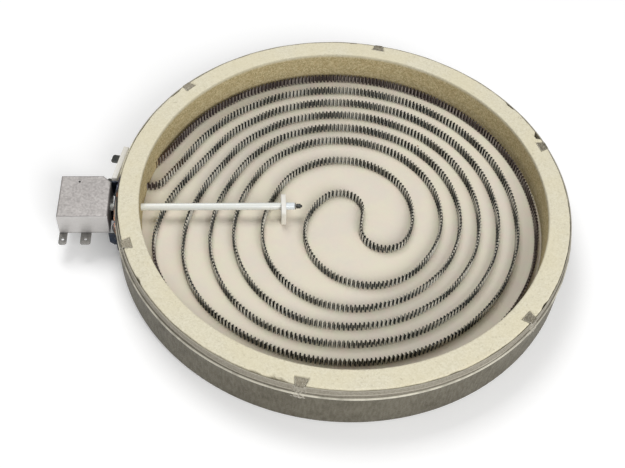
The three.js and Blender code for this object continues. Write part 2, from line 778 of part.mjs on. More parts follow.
// A rivet along X through an arm and its post, with a head on each side.
function armRivet(x0, x1, y) {
  const shank = rivetShank / 2;
  const head = contactRadius;
  return turnedAlongX([
    [0, x0 - gap - rivetHeadHeight], [head, x0 - gap - rivetHeadHeight], [head, x0 - gap],
    [shank, x0 - gap], [shank, x1 + gap],
    [head, x1 + gap], [head, x1 + gap + rivetHeadHeight], [0, x1 + gap + rivetHeadHeight],
  ], y);
}

function contactButton(x0, y) {
  return turnedAlongX(bar(contactRadius, x0, x0 + contactThickness), y);
}

function baseRivet(x) {
  const low = bladeBottom - gap;
  const high = slabTop + gap;
  return turned([
    [0, low - rivetHeadHeight], [rivetHead, low - rivetHeadHeight], [rivetHead, low],
    [rivetShank, low], [rivetShank, high],
    [rivetHead, high], [rivetHead, high + rivetHeadHeight], [0, high + rivetHeadHeight],
  ], smallFacets).translate(x, 0, 0);
}

// A lug that stands out from the saddle beside the cover, its lower outer corner taken off.
function lugGeometry({ aside, reach, bottom, top }) {
  const x0 = -saddleInner - reach;
  const x1 = -Math.sqrt((saddleInner + strip / 2) ** 2 - aside ** 2);
  const outline = [
    new THREE.Vector2(x0, top),
    new THREE.Vector2(x0, bottom + lugCut),
    new THREE.Vector2(x0 + lugCut, bottom),
    new THREE.Vector2(x1, bottom),
    new THREE.Vector2(x1, top),
  ];
  return prism(outline, 0, strip).rotateX(Math.PI / 2).translate(0, aside + strip / 2, 0);
}

// The bracket: a saddle that follows the dish's wall, its two lugs and a tongue under the slab.
function bracketGeometry() {
  const outline = [
    ...arc(centre, saddleOuter, saddleFrom, saddleTo, saddleStep),
    ...arc(centre, saddleInner, saddleTo, saddleFrom, saddleStep),
  ];
  const saddle = prism(outline, saddleBottom, shoulderHeight - saddleBelowBead);
  const tongueEnd = rearRivetX - rivetHead - tongueEdge;
  const tongue = box(
    tongueEnd, -saddleInner - strip / 2, -tongueWidth / 2, tongueWidth / 2, bladeBottom, bladeTop,
  );
  const holes = rivetPlaces.map((x) => (
    turned(bar(rivetShank + gap, bladeBottom - past, bladeTop + past), smallFacets).translate(x, 0, 0)
  ));
  return cut(
    join(saddle, tongue, ...lugPlaces.map(lugGeometry)),
    tubeOpening(2 * gap, saddleInner - past, saddleOuter + past),
    ...holes,
    ...screwPlaces.map(screwHole),
  );
}

function screwGeometry({ aside, height }) {
  const seat = saddleOuter + gap;
  const tip = dishInner - screwTip;
  const rim = seat + screwHeadRim;
  const face = rim + screwHeadRim;
  const profile = [
    [0, tip], [screwShank, tip], [screwShank, seat],
    [screwHead, seat], [screwHead, rim], [screwHead - screwHeadRim, face], [0, face],
  ];
  return turned(profile, smallFacets).rotateY(Math.PI / 2).translate(0, 0, height).rotateZ(towardsHead(aside));
}

function plungerGeometry() {
  return turnedAlongX([
    [0, plungerTipEnd], [plungerTipRadius, plungerTipEnd], [plungerTipRadius, plungerShoulder],
    [plungerRadius, plungerShoulder], [plungerRadius, plungerStart], [0, plungerStart],
  ]);
}

function buildHead() {
  const group = new THREE.Group();
  const { limiterEar, limiterPost, signalPost, signalEar } = uprights;
  const limiterFixedX = limiterEarX - gap - contactThickness;
  const limiterMovingX = limiterContactX + gap;
  const signalFixedX = signalEarX + strip + gap;
  const signalMovingX = signalContactX - gap - contactThickness;
  const signalPastX = signalContactX + armThickness;
  group.add(
    piece('limiter_base', slabGeometry(), finishes.steatite),
    piece('limiter_cover', coverGeometry(), finishes.coverSteel),
    piece('limiter_bracket', bracketGeometry(), finishes.oxidisedSteel),
    terminal('limiter_terminal_fixed', wideX, wideBlade, -1, limiterEar, contactReach),
    terminal('limiter_terminal_spring', wideX, wideBlade, 1, limiterPost, pivotReach),
    terminal('signal_terminal_spring', narrowX, narrowBlade, -1, signalPost, pivotReach),
    terminal('signal_terminal_fixed', narrowX, narrowBlade, 1, signalEar, contactReach),
    piece('plunger', plungerGeometry(), finishes.steatite),
    piece('limiter_contact_arm', armGeometry(limiterArmX, 1), finishes.springBronze),
    piece('signal_contact_arm', armGeometry(signalArmX, -1), finishes.springBronze),
    piece('limiter_arm_rivet', armRivet(limiterPostX, limiterContactX, pivotReach), finishes.plainSteel),
    piece('signal_arm_rivet', armRivet(signalPostX, signalPastX, -pivotReach), finishes.plainSteel),
    piece('limiter_fixed_contact', contactButton(limiterFixedX, -contactReach), finishes.silverAlloy),
    piece('limiter_moving_contact', contactButton(limiterMovingX, -contactReach), finishes.silverAlloy),
    piece('signal_fixed_contact', contactButton(signalFixedX, contactReach), finishes.silverAlloy),
    piece('signal_moving_contact', contactButton(signalMovingX, contactReach), finishes.silverAlloy),
  );
  rivetPlaces.forEach((x, i) => {
    group.add(piece(`base_rivet_${i + 1}`, baseRivet(x), finishes.plainSteel));
  });
  screwPlaces.forEach((place, i) => {
    group.add(piece(`bracket_screw_${i + 1}`, screwGeometry(place), finishes.plainSteel));
  });
  return group;
}

const element = new THREE.Group();
element.add(buildHeater(), buildHeaterTerminals(), buildRod(), buildHead());

export default element;
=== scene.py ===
"""A radiant heating element for a glass-ceramic hob, built round its CAD frame for Blender 4.5.

The file follows the element as it is put together: dish, ribbon, insulation, terminals, limiter, and then
the stage. Metres, +Z up, with the origin at the centre of the dish's flat underside.
"""

import math

import bmesh
import bpy
from mathutils import Matrix, Vector, kdtree, noise


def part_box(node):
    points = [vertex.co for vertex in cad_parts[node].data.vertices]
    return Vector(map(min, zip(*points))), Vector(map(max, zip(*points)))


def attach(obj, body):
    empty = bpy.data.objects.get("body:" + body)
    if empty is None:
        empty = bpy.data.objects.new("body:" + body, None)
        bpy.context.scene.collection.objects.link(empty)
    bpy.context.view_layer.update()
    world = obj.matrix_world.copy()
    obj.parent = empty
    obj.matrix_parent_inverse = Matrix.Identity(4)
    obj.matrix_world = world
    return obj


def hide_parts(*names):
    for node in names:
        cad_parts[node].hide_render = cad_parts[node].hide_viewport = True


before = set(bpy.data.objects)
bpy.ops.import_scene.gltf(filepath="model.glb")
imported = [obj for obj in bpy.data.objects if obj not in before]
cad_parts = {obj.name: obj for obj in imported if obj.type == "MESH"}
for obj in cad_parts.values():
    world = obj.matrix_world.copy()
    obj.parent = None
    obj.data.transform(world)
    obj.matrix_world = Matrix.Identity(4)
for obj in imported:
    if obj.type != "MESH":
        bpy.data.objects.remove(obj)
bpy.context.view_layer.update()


# ---- The dish ---------------------------------------------------------------------------------------
# One pressing of 0.6 mm aluminised steel: a flat floor with a shallow ring groove, an upright wall, a
# rolled bead and above it a slightly narrower neck. Heat has dulled and stained it khaki.

mm = 0.001
bead_rise = 0.3 * mm
dish_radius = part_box("dish")[1].x - bead_rise
dish_sheet = 0.6 * mm
element_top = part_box("insulation_ring")[1].z
shoulder = element_top - 7.0 * mm
neck_radius = dish_radius - 1.1 * mm
neck_top = element_top - 0.8 * mm
floor_corner = 2.5 * mm
groove_radius = 88 * mm
groove_half = 3.5 * mm
groove_depth = 0.8 * mm


def turned(name, profile, steps, shift=None):
    """A profile of (radius, height) turned about Z. A point on the axis becomes a single pole."""
    mesh = bmesh.new()
    rows = []
    for radius, height in profile:
        if radius < 1e-7:
            rows.append([mesh.verts.new((0, 0, height))])
            continue
        row = []
        for step in range(steps):
            angle = 2 * math.pi * step / steps
            r, z = shift(radius, height, angle) if shift else (radius, height)
            row.append(mesh.verts.new((r * math.cos(angle), r * math.sin(angle), z)))
        rows.append(row)
    for low, high in zip(rows, rows[1:] + rows[:1]):
        if len(low) == 1 and len(high) == 1:
            continue
        for step in range(steps):
            after = (step + 1) % steps
            corners = [
                low[step % len(low)], low[after % len(low)], high[after % len(high)], high[step % len(high)],
            ]
            mesh.faces.new([c for i, c in enumerate(corners) if c not in corners[:i]])
    return finished_mesh(name, mesh)


def finished_mesh(name, mesh, smooth_angle=35):
    """The bmesh as an object at the origin, its normals outwards, smooth but for its sharp edges."""
    bmesh.ops.remove_doubles(mesh, verts=mesh.verts, dist=1e-7)
    bmesh.ops.recalc_face_normals(mesh, faces=mesh.faces)
    data = bpy.data.meshes.new(name)
    mesh.to_mesh(data)
    mesh.free()
    made = bpy.data.objects.new(name, data)
    bpy.context.scene.collection.objects.link(made)
    data.shade_smooth()
    data.set_sharp_from_angle(angle=math.radians(smooth_angle))
    return made


def quarter(centre_r, centre_z, radius, start, end, count=8):
    """Points of a round corner in a turned profile, angles in degrees."""
    angles = [math.radians(start + (end - start) * i / count) for i in range(count + 1)]
    return [(centre_r + radius * math.cos(a), centre_z + radius * math.sin(a)) for a in angles]


def wave(angle, parts):
    """A slow wander round the dish: a sum of (cycles, size, phase)."""
    return sum(size * math.sin(cycles * angle + phase) for cycles, size, phase in parts)


def dish_wander(radius, height, angle):
    """The neck and the bead aren't quite round, as hand-handled thin sheet never is."""
    lift = min(1.0, max(0.0, (height - 0.4 * shoulder) / shoulder))
    slow = wave(angle, [(3, 0.10, 0.4), (7, 0.06, 1.9), (13, 0.05, 0.2), (29, 0.03, 2.2)]) * mm
    neck = max(0.0, (height - shoulder) / (neck_top - shoulder))
    seam = 0.12 * mm * math.exp(-((height - shoulder - 2.2 * mm) / (0.35 * mm)) ** 2)
    seam *= max(0.0, wave(angle, [(2, 0.8, 2.6), (5, 0.5, 0.9)]))
    edge = wave(angle, [(17, 0.10, 0.7), (41, 0.08, 1.1)]) * mm * neck
    return radius - abs(slow) * lift * 0.8 + seam, height + edge * (1 if height < neck_top else 0.6)


def bare_copy(name, source):
    """A merged copy of a CAD node's mesh, its coplanar triangles joined up again."""
    mesh = bmesh.new()
    mesh.from_mesh(source.data)
    bmesh.ops.remove_doubles(mesh, verts=mesh.verts, dist=2e-6)
    bmesh.ops.dissolve_limit(mesh, angle_limit=math.radians(0.5), verts=mesh.verts, edges=mesh.edges)
    return finished_mesh(name, mesh)


def block(low, high):
    """A plain box that only cuts, from its lowest to its highest corner."""
    mesh = bmesh.new()
    bmesh.ops.create_cube(mesh, size=1)
    middle = (Vector(low) + Vector(high)) / 2
    size = Vector(high) - Vector(low)
    stretch = Matrix.Translation(middle) @ Matrix.Diagonal((*size, 1))
    bmesh.ops.transform(mesh, matrix=stretch, verts=mesh.verts)
    return finished_mesh("cutter", mesh)


def rod_shape(name, profile, start, direction, steps=48):
    """A profile of (radius, distance) turned about a line that runs from start in a direction."""
    made = turned(name, profile, steps)
    turn = Vector((0, 0, 1)).rotation_difference(Vector(direction)).to_matrix().to_4x4()
    made.data.transform(Matrix.Translation(Vector(start)) @ turn)
    return made


def cut_away(piece, cutters):
    """Takes the cutters out of the piece and drops them."""
    for cutter in cutters:
        boolean = piece.modifiers.new("cut", "BOOLEAN")
        boolean.object = cutter
        boolean.solver = "EXACT"
    keep_result(piece)
    for cutter in cutters:
        bpy.data.objects.remove(cutter)


def keep_result(piece):
    """Turns what the piece's modifiers make into its plain mesh."""
    depsgraph = bpy.context.evaluated_depsgraph_get()
    data = bpy.data.meshes.new_from_object(piece.evaluated_get(depsgraph), depsgraph=depsgraph)
    piece.modifiers.clear()
    piece.data = data


inner = dish_radius - dish_sheet
neck_inner = neck_radius - dish_sheet
inner_corner = floor_corner - dish_sheet
groove = [
    (groove_radius - groove_half, 0),
    (groove_radius - groove_half + groove_depth, groove_depth),
    (groove_radius + groove_half - groove_depth, groove_depth),
    (groove_radius + groove_half, 0),
]
dish_profile = [
    (0, 0),
    *groove,
    *quarter(dish_radius - floor_corner, floor_corner, floor_corner, -90, 0),
    *[(dish_radius, floor_corner + (shoulder - 0.9 * mm - floor_corner) * i / 8) for i in range(1, 9)],
    *quarter(dish_radius - 0.15 * mm, shoulder - 0.2 * mm, 0.45 * mm, -60, 75, 6),
    (neck_radius + 0.25 * mm, shoulder + 0.65 * mm),
    (neck_radius, shoulder + 1.0 * mm),
    *[(neck_radius, shoulder + 1.0 * mm + (neck_top - shoulder - 1.0 * mm) * i / 12) for i in range(1, 13)],
    (neck_radius - 0.3 * mm, neck_top + 0.1 * mm),
    (neck_inner, neck_top),
    (neck_inner, shoulder + 0.5 * mm),
    (inner, shoulder - 0.5 * mm),
    *quarter(dish_radius - floor_corner, floor_corner, inner_corner, 0, -90),
    *[(r, z + dish_sheet) for r, z in reversed(groove)],
    (0, dish_sheet),
]
dish = turned("dish_pressing", dish_profile, 540, dish_wander)

tube_low, tube_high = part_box("limiter_tube")
tube_radius = (tube_high.y - tube_low.y) / 2
rod_height = (tube_high.z + tube_low.z) / 2
block_angle = math.radians(168)
block_low, block_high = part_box("terminal_block")
block_middle = (block_low.z + block_high.z) / 2
body_half, body_side = 6.3 * mm, 12.3 * mm  # half the block's opening, up and sideways
screw_places = [(math.radians(185), 15 * mm), (math.radians(180), 7.5 * mm)]


def outwards(angle, distance, height=0.0):
    """A point at a distance from the dish's centre in a direction."""
    return Vector((distance * math.cos(angle), distance * math.sin(angle), height))


def rod_cutter(radius, start, direction, length):
    """A round bar that only cuts."""
    return rod_shape("cutter", [(0, 0), (radius, 0), (radius, length), (0, length)], start, direction)


def body_opening(near, far):
    """The opening for the terminal block's body, cut outwards through a wall."""
    opening = block((near, -body_side, -body_half), (far, body_side, body_half))
    opening.data.transform(Matrix.Translation((0, 0, block_middle)) @ Matrix.Rotation(block_angle, 4, "Z"))
    return opening


cut_away(dish, [
    rod_cutter(tube_radius + 0.6 * mm, (-dish_radius - 4 * mm, 0, rod_height), (1, 0, 0), 8 * mm),
    body_opening(dish_radius - 6 * mm, dish_radius + 4 * mm),
    *[
        rod_cutter(1.6 * mm, outwards(angle, dish_radius - 3 * mm, height), outwards(angle, 1), 6 * mm)
        for angle, height in screw_places
    ],
])
dish.data.shade_smooth()
dish.data.set_sharp_from_angle(angle=math.radians(35))


def new_material(name, **sockets):
    """A material with one Principled shader, its plain values set on the shader's own sockets."""
    made = bpy.data.materials.new(name)
    made.use_nodes = True
    tree = made.node_tree
    tree.nodes.clear()
    output = tree.nodes.new("ShaderNodeOutputMaterial")
    shader = tree.nodes.new("ShaderNodeBsdfPrincipled")
    tree.links.new(shader.outputs["BSDF"], output.inputs["Surface"])
    for socket, value in sockets.items():
        shader.inputs[socket.replace("_", " ")].default_value = value
    return made, tree, shader


def add(tree, kind, inputs=None, **settings):
    """A node with its settings, and its inputs set or linked by name or number."""
    node = tree.nodes.new(kind)
    for setting, value in settings.items():
        setattr(node, setting, value)
    for key, value in (inputs or {}).items():
        if isinstance(value, bpy.types.NodeSocket):
            tree.links.new(value, node.inputs[key])
        else:
            node.inputs[key].default_value = value
    return node


def spread(tree, value, low, high, to_low=0.0, to_high=1.0):
    """The value's stretch from low to high, mapped smoothly to another stretch."""
    node = add(tree, "ShaderNodeMapRange", {
        "Value": value, "From Min": low, "From Max": high, "To Min": to_low, "To Max": to_high,
    }, interpolation_type="SMOOTHSTEP")
    return node.outputs["Result"]


def sum_of(tree, operation, a, b=0.5):
    """One step of arithmetic on one or two values."""
    return add(tree, "ShaderNodeMath", {0: a, 1: b}, operation=operation).outputs[0]


def tinted(tree, share, under, over):
    """One colour over another by a share, each a linked colour or three numbers."""
    colours = [c if isinstance(c, bpy.types.NodeSocket) else (*c, 1) for c in (under, over)]
    node = add(tree, "ShaderNodeMix", {0: share, 6: colours[0], 7: colours[1]}, data_type="RGBA")
    return node.outputs[2]


def coordinates(tree):
    """Object coordinates, and their X, Y and Z apart."""
    place = add(tree, "ShaderNodeTexCoord").outputs["Object"]
    return place, add(tree, "ShaderNodeSeparateXYZ", {0: place}).outputs


def bumped(tree, shader, height, strength, distance):
    """Fine relief on a finish, from a height."""
    bump = add(tree, "ShaderNodeBump", {"Strength": strength, "Distance": distance, "Height": height})
    tree.links.new(bump.outputs["Normal"], shader.inputs["Normal"])


def effect_group(name, inputs, outputs):
    """A shader node group with float inputs and outputs, which several finishes share."""
    group = bpy.data.node_groups.new(name, "ShaderNodeTree")
    for title, value in inputs.items():
        socket = group.interface.new_socket(title, in_out="INPUT", socket_type="NodeSocketFloat")
        socket.default_value = value
    for title in outputs:
        group.interface.new_socket(title, in_out="OUTPUT", socket_type="NodeSocketFloat")
    return group, group.nodes.new("NodeGroupInput").outputs, group.nodes.new("NodeGroupOutput").inputs


def placed(tree, group, **values):
    """An effect group in a material, with this finish's own values."""
    node = add(tree, "ShaderNodeGroup", node_tree=group)
    for title, value in values.items():
        node.inputs[title.replace("_", " ")].default_value = value
    return node.outputs


# Heat staining: large soft patches, and a finer mottle inside them.
heat_stain, given, gives = effect_group(
    "heat_stain", {"Patch Size": 0.03, "Shift": 0.0}, ["Patches", "Mottle"]
)
place, _ = coordinates(heat_stain)
moved = add(heat_stain, "ShaderNodeVectorMath", {0: place, 1: given["Shift"]}, operation="ADD").outputs[0]
per_patch = sum_of(heat_stain, "DIVIDE", 1.0, given["Patch Size"])
patches = add(heat_stain, "ShaderNodeTexNoise", {
    "Vector": moved, "Scale": per_patch, "Detail": 3.0, "Roughness": 0.55,
})
finer = sum_of(heat_stain, "MULTIPLY", per_patch, 9.0)
mottle = add(heat_stain, "ShaderNodeTexNoise", {
    "Vector": moved, "Scale": finer, "Detail": 4.0, "Roughness": 0.65,
})
heat_stain.links.new(spread(heat_stain, patches.outputs["Fac"], 0.35, 0.68), gives["Patches"])
heat_stain.links.new(spread(heat_stain, mottle.outputs["Fac"], 0.30, 0.72), gives["Mottle"])

# Rolled sheet: fine streaks along one direction, here upwards on a wall, with a few scratches.
rolled, given, gives = effect_group(
    "rolled_sheet", {"Streak Width": 0.0008, "Draw": 9.0}, ["Streaks", "Scratches"]
)
place, parts = coordinates(rolled)
round_it = sum_of(rolled, "ARCTAN2", parts["Y"], parts["X"])
along = sum_of(rolled, "MULTIPLY", round_it, 0.14)
pulled = sum_of(rolled, "DIVIDE", parts["Z"], given["Draw"])
sheet_place = add(rolled, "ShaderNodeCombineXYZ", {0: along, 1: pulled, 2: 0.0}).outputs[0]
streak_scale = sum_of(rolled, "DIVIDE", 1.0, given["Streak Width"])
streaks = add(rolled, "ShaderNodeTexNoise", {"Vector": sheet_place, "Scale": streak_scale, "Detail": 2.0})
wide_scale = sum_of(rolled, "MULTIPLY", streak_scale, 0.12)
scratches = add(rolled, "ShaderNodeTexNoise", {
    "Vector": place, "Scale": wide_scale, "Detail": 6.0, "Roughness": 0.75, "Distortion": 1.2,
})
rolled.links.new(spread(rolled, streaks.outputs["Fac"], 0.3, 0.7), gives["Streaks"])
rolled.links.new(spread(rolled, scratches.outputs["Fac"], 0.60, 0.66), gives["Scratches"])

# Worn edges: the finish is rubbed off within a short reach of a sharp edge.
worn, given, gives = effect_group("worn_edge", {"Reach": 0.0003}, ["Wear"])
rounded = add(worn, "ShaderNodeBevel", {"Radius": given["Reach"]}, samples=4).outputs["Normal"]
true_way = add(worn, "ShaderNodeNewGeometry").outputs["True Normal"]
alike = add(worn, "ShaderNodeVectorMath", {0: rounded, 1: true_way}, operation="DOT_PRODUCT").outputs["Value"]
worn.links.new(spread(worn, alike, 0.985, 0.88), gives["Wear"])

dish_steel, tree, shader = new_material("dish_steel", Metallic=0.35, Specular_IOR_Level=0.35)
place, parts = coordinates(tree)
stain = placed(tree, heat_stain, Patch_Size=0.035)
small_stain = placed(tree, heat_stain, Patch_Size=0.009, Shift=0.7)
sheet = placed(tree, rolled, Streak_Width=0.0016, Draw=4.0)
khaki = tinted(tree, stain["Patches"], (0.094, 0.083, 0.056), (0.132, 0.120, 0.086))
khaki = tinted(tree, sum_of(tree, "MULTIPLY", small_stain["Patches"], 0.45), khaki, (0.160, 0.145, 0.108))
khaki = tinted(tree, sum_of(tree, "MULTIPLY", stain["Mottle"], 0.40), khaki, (0.100, 0.088, 0.062))
# Darker towards the foot of the wall: painted shade where the wall meets the floor.
foot_shade = spread(tree, parts["Z"], 5 * mm, 0.5 * mm, 0.0, 0.45)
khaki = tinted(tree, foot_shade, khaki, (0.070, 0.062, 0.045))
neck_share = spread(tree, parts["Z"], shoulder + 0.5 * mm, shoulder + 1.0 * mm)
grey = tinted(tree, small_stain["Mottle"], (0.215, 0.190, 0.145), (0.400, 0.370, 0.305))
body = tinted(tree, neck_share, khaki, grey)
body = tinted(tree, sum_of(tree, "MULTIPLY", sheet["Streaks"], 0.16), body, (0.420, 0.390, 0.320))
# The second ridge in the neck: a painted highlight, a bright line that comes and goes, with painted shade as
# a dark line under it.
round_it = sum_of(tree, "ARCTAN2", parts["Y"], parts["X"])
ridge_way = add(tree, "ShaderNodeCombineXYZ", {0: round_it, 1: 0.0, 2: 0.0}).outputs[0]
ridge_noise = add(tree, "ShaderNodeTexNoise", {"Vector": ridge_way, "Scale": 1.6, "Detail": 1.0}).outputs
ridge_height = spread(tree, ridge_noise["Fac"], 0.35, 0.65, shoulder + 0.9 * mm, shoulder + 2.6 * mm)
from_ridge = sum_of(tree, "SUBTRACT", parts["Z"], ridge_height)
ridge_highlight = spread(tree, sum_of(tree, "ABSOLUTE", from_ridge), 0.12 * mm, 0.42 * mm, 0.75, 0.0)
under_low = spread(tree, parts["Z"], shoulder + 0.55 * mm, shoulder + 0.75 * mm)
under_ridge_shade = sum_of(tree, "MULTIPLY", under_low, spread(tree, from_ridge, -0.15 * mm, -0.45 * mm, 0.0, 0.2))
body = tinted(tree, under_ridge_shade, body, (0.085, 0.075, 0.055))
body = tinted(tree, ridge_highlight, body, (0.640, 0.600, 0.500))
# The rolled bead is painted bright: partly rubbed polish, partly a painted highlight where the bead catches
# the light. It is patchy round the dish.
bead_low = spread(tree, parts["Z"], shoulder - 0.65 * mm, shoulder - 0.35 * mm)
bead_high = spread(tree, parts["Z"], shoulder + 0.30 * mm, shoulder + 0.60 * mm, 1.0, 0.0)
bead_polish_and_highlight = sum_of(tree, "MULTIPLY", bead_low, bead_high)
bead_patchiness = spread(tree, small_stain["Patches"], -1.2, 0.9)
bead_polish_and_highlight = sum_of(tree, "MULTIPLY", bead_polish_and_highlight, bead_patchiness)
body = tinted(tree, bead_polish_and_highlight, body, (0.700, 0.665, 0.560))
rim_share = spread(tree, parts["Z"], neck_top - 0.25 * mm, neck_top + 0.05 * mm)
body = tinted(tree, sum_of(tree, "MULTIPLY", rim_share, 0.5), body, (0.500, 0.470, 0.390))
# Beside the limiter the steel is painted near black, a painted shadow of the head and its bracket, faintly
# blue above the tube; the copper at the tube's edge is a real stain.
beside_head = spread(tree, parts["X"], -134.5 * mm, -136.5 * mm)
head_high = spread(tree, parts["Y"], 15 * mm, 12 * mm)
head_low = spread(tree, parts["Y"], -27 * mm, -17 * mm)
head_shadow_paint = sum_of(tree, "MULTIPLY", beside_head, sum_of(tree, "MULTIPLY", head_high, head_low))
bead_front = sum_of(tree, "MULTIPLY", bead_polish_and_highlight, spread(tree, parts["Y"], 2 * mm, -4 * mm))
not_bead = sum_of(tree, "SUBTRACT", 1.0, bead_front)
head_shadow_paint = sum_of(tree, "MULTIPLY", head_shadow_paint, not_bead)
shadow_and_copper_tone = tinted(tree, spread(tree, parts["Y"], 0.0, 6 * mm), (0.018, 0.018, 0.018), (0.050, 0.042, 0.060))
copper_low = spread(tree, parts["Y"], -3.5 * mm, -1.5 * mm)
copper_high = spread(tree, parts["Y"], 2.0 * mm, -0.5 * mm)
copper_share = sum_of(tree, "MULTIPLY", sum_of(tree, "MULTIPLY", copper_low, copper_high), 0.8)
shadow_and_copper_tone = tinted(tree, copper_share, shadow_and_copper_tone, (0.330, 0.130, 0.040))
body = tinted(tree, sum_of(tree, "MULTIPLY", head_shadow_paint, 0.93), body, shadow_and_copper_tone)
# Insulating cement is smeared over the neck behind the terminal block.
block_low_y = spread(tree, parts["Y"], 14.5 * mm, 16.5 * mm)
block_high_y = spread(tree, parts["Y"], 44 * mm, 41 * mm)
block_side = spread(tree, parts["X"], -120 * mm, -124 * mm)
smeared = sum_of(tree, "MULTIPLY", sum_of(tree, "MULTIPLY", block_low_y, block_high_y), block_side)
smeared = sum_of(tree, "MULTIPLY", smeared, spread(tree, small_stain["Mottle"], 0.10, 0.30))
body = tinted(tree, smeared, body, (0.720, 0.680, 0.540))
tree.links.new(body, shader.inputs["Base Color"])
dull = spread(tree, small_stain["Mottle"], 0.0, 1.0, 0.50, 0.70)
tree.links.new(dull, shader.inputs["Roughness"])
relief = sum_of(tree, "ADD", sheet["Streaks"], small_stain["Mottle"])
relief = sum_of(tree, "ADD", relief, sum_of(tree, "MULTIPLY", ridge_highlight, 3.0))
bumped(tree, shader, relief, 0.45, 0.00016)

dish.data.materials.clear()
dish.data.materials.append(dish_steel)
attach(dish, "element")
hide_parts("dish")


# ---- The heater ribbon ------------------------------------------------------------------------------
# A strip of iron-chromium-aluminium alloy, corrugated between toothed rollers and stood on edge. It runs
# inwards on every second loop, turns through an S at the centre and runs out again on the others.

ribbon_low, ribbon_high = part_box("heater_ribbon")
ring_inner = 124.3 * mm
loop_pitch = 11.9 * mm
outer_loop = ring_inner - 3.5 * mm
inner_loop = outer_loop - 5 * loop_pitch
eye_loop = inner_loop - 17.8 * mm
wide_arc_at = -52.1
wave_half = 0.93 * mm  # half the corrugation, across the line
lead_bend = 10 * mm
loop_left = -212
ease_from = [-157, -138, -117, -98, -80]
path_step = 1.5
flat = Vector((0, 0))


def at(radius, degrees):
    """A flat point at a radius, in a direction in degrees."""
    return Vector((radius * math.cos(math.radians(degrees)), radius * math.sin(math.radians(degrees))))


def bend(centre, radius, start, end, step=path_step):
    """Points along an arc about a centre."""
    count = max(2, math.ceil(abs(end - start) / step))
    return [centre + at(radius, start + (end - start) * i / count) for i in range(count + 1)]


def shift_loop(from_radius, to_radius, start, end):
    """A loop that eases to its neighbour's radius while it turns."""
    count = math.ceil(abs(end - start) / path_step)
    points = []
    for i in range(count + 1):
        share = i / count
        eased = share * share * (3 - 2 * share)
        points.append(at(from_radius + (to_radius - from_radius) * eased, start + (end - start) * share))
    return points


def s_at_the_centre():
    """From the eye loop, through a hook each way, to the wide arc that meets the innermost full loop."""
    hook, crest, wide = 14.6 * mm, 13.7 * mm, 38.5 * mm
    hook_at, crest_at = -31, 127.7
    hook_centre = at(eye_loop - hook, hook_at)
    wide_centre = at(inner_loop - wide, wide_arc_at)
    crest_centre = wide_centre + at(wide - crest, crest_at)
    between = hook_centre - crest_centre
    crossing = math.degrees(math.atan2(between.y, between.x) + math.acos((crest + hook) / between.length))
    return [
        *bend(flat, eye_loop, loop_left + 360, hook_at),
        *bend(hook_centre, hook, hook_at, crossing - 180, 4)[1:],
        *bend(crest_centre, crest, crossing, crest_at, 4),
        *bend(wide_centre, wide, crest_at, wide_arc_at + 360)[1:],
    ]


def ribbon_line():
    """The whole ribbon as one line of points on the cake."""
    loops = [inner_loop + k * loop_pitch for k in range(6)]
    left = loop_left + 360
    riser = ring_inner + 5 * mm
    run_out = riser - 1.5 * mm - outer_loop
    outer_end = []
    for i in range(13):
        share = 1 - i / 12
        outer_end.append(at(outer_loop + run_out * share * share, 150 + 14.5 * share))
    lead = at(riser - wave_half, 168) + at(7.5 * mm, 258)
    lead_y = lead.y + 2.25 * mm
    touch = at(loops[4], 148)
    heading = math.radians(58)
    corner_x = touch.x - (touch.y - lead_y) / math.tan(heading)
    bend_start = corner_x - lead_bend * math.tan(heading / 2)
    inner_end = [
        Vector((lead.x, lead_y)),
        *bend(Vector((bend_start, lead_y + lead_bend)), lead_bend, -90, math.degrees(heading) - 90, 4),
        touch,
    ]
    return [
        *outer_end,
        *bend(flat, loops[5], 150, ease_from[0])[1:],
        *shift_loop(loops[5], loops[3], ease_from[0], loop_left)[1:],
        *bend(flat, loops[3], left, ease_from[2])[1:],
        *shift_loop(loops[3], loops[1], ease_from[2], loop_left)[1:],
        *bend(flat, loops[1], left, ease_from[4])[1:],
        *shift_loop(loops[1], eye_loop, ease_from[4], loop_left)[1:],
        *s_at_the_centre()[1:],
        *bend(flat, loops[0], wide_arc_at, left)[1:],
        *shift_loop(loops[0], loops[2], left, ease_from[3] + 360)[1:],
        *bend(flat, loops[2], ease_from[3] + 360, left + 360)[1:],
        *shift_loop(loops[2], loops[4], left, ease_from[1] + 360)[1:],
        *bend(flat, loops[4], ease_from[1] + 360, 148 + 360)[1:],
        *reversed(inner_end[:-1]),
    ]


ribbon_points = ribbon_line()


def geometry_tree(name, inputs):
    """A Geometry Nodes tree with its named inputs. Returns it with the input's and the output's sockets."""
    tree = bpy.data.node_groups.new(name, "GeometryNodeTree")
    tree.interface.new_socket("Geometry", in_out="INPUT", socket_type="NodeSocketGeometry")
    for title, kind in inputs.items():
        tree.interface.new_socket(title, in_out="INPUT", socket_type=kind)
    tree.interface.new_socket("Geometry", in_out="OUTPUT", socket_type="NodeSocketGeometry")
    return tree, tree.nodes.new("NodeGroupInput").outputs, tree.nodes.new("NodeGroupOutput").inputs


def grown(piece, tree, values):
    """Runs a Geometry Nodes tree on the piece and keeps what it makes as a plain mesh."""
    modifier = piece.modifiers.new(tree.name, "NODES")
    modifier.node_group = tree
    for socket in tree.interface.items_tree:
        if socket.in_out == "INPUT" and socket.name in values:
            modifier[socket.identifier] = values[socket.name]
    keep_result(piece)
    return piece


def wire(name, points):
    """A bare line of points that a tree grows along."""
    data = bpy.data.meshes.new(name)
    data.from_pydata([tuple(p) for p in points], [(i, i + 1) for i in range(len(points) - 1)], [])
    made = bpy.data.objects.new(name, data)
    bpy.context.scene.collection.objects.link(made)
    return made


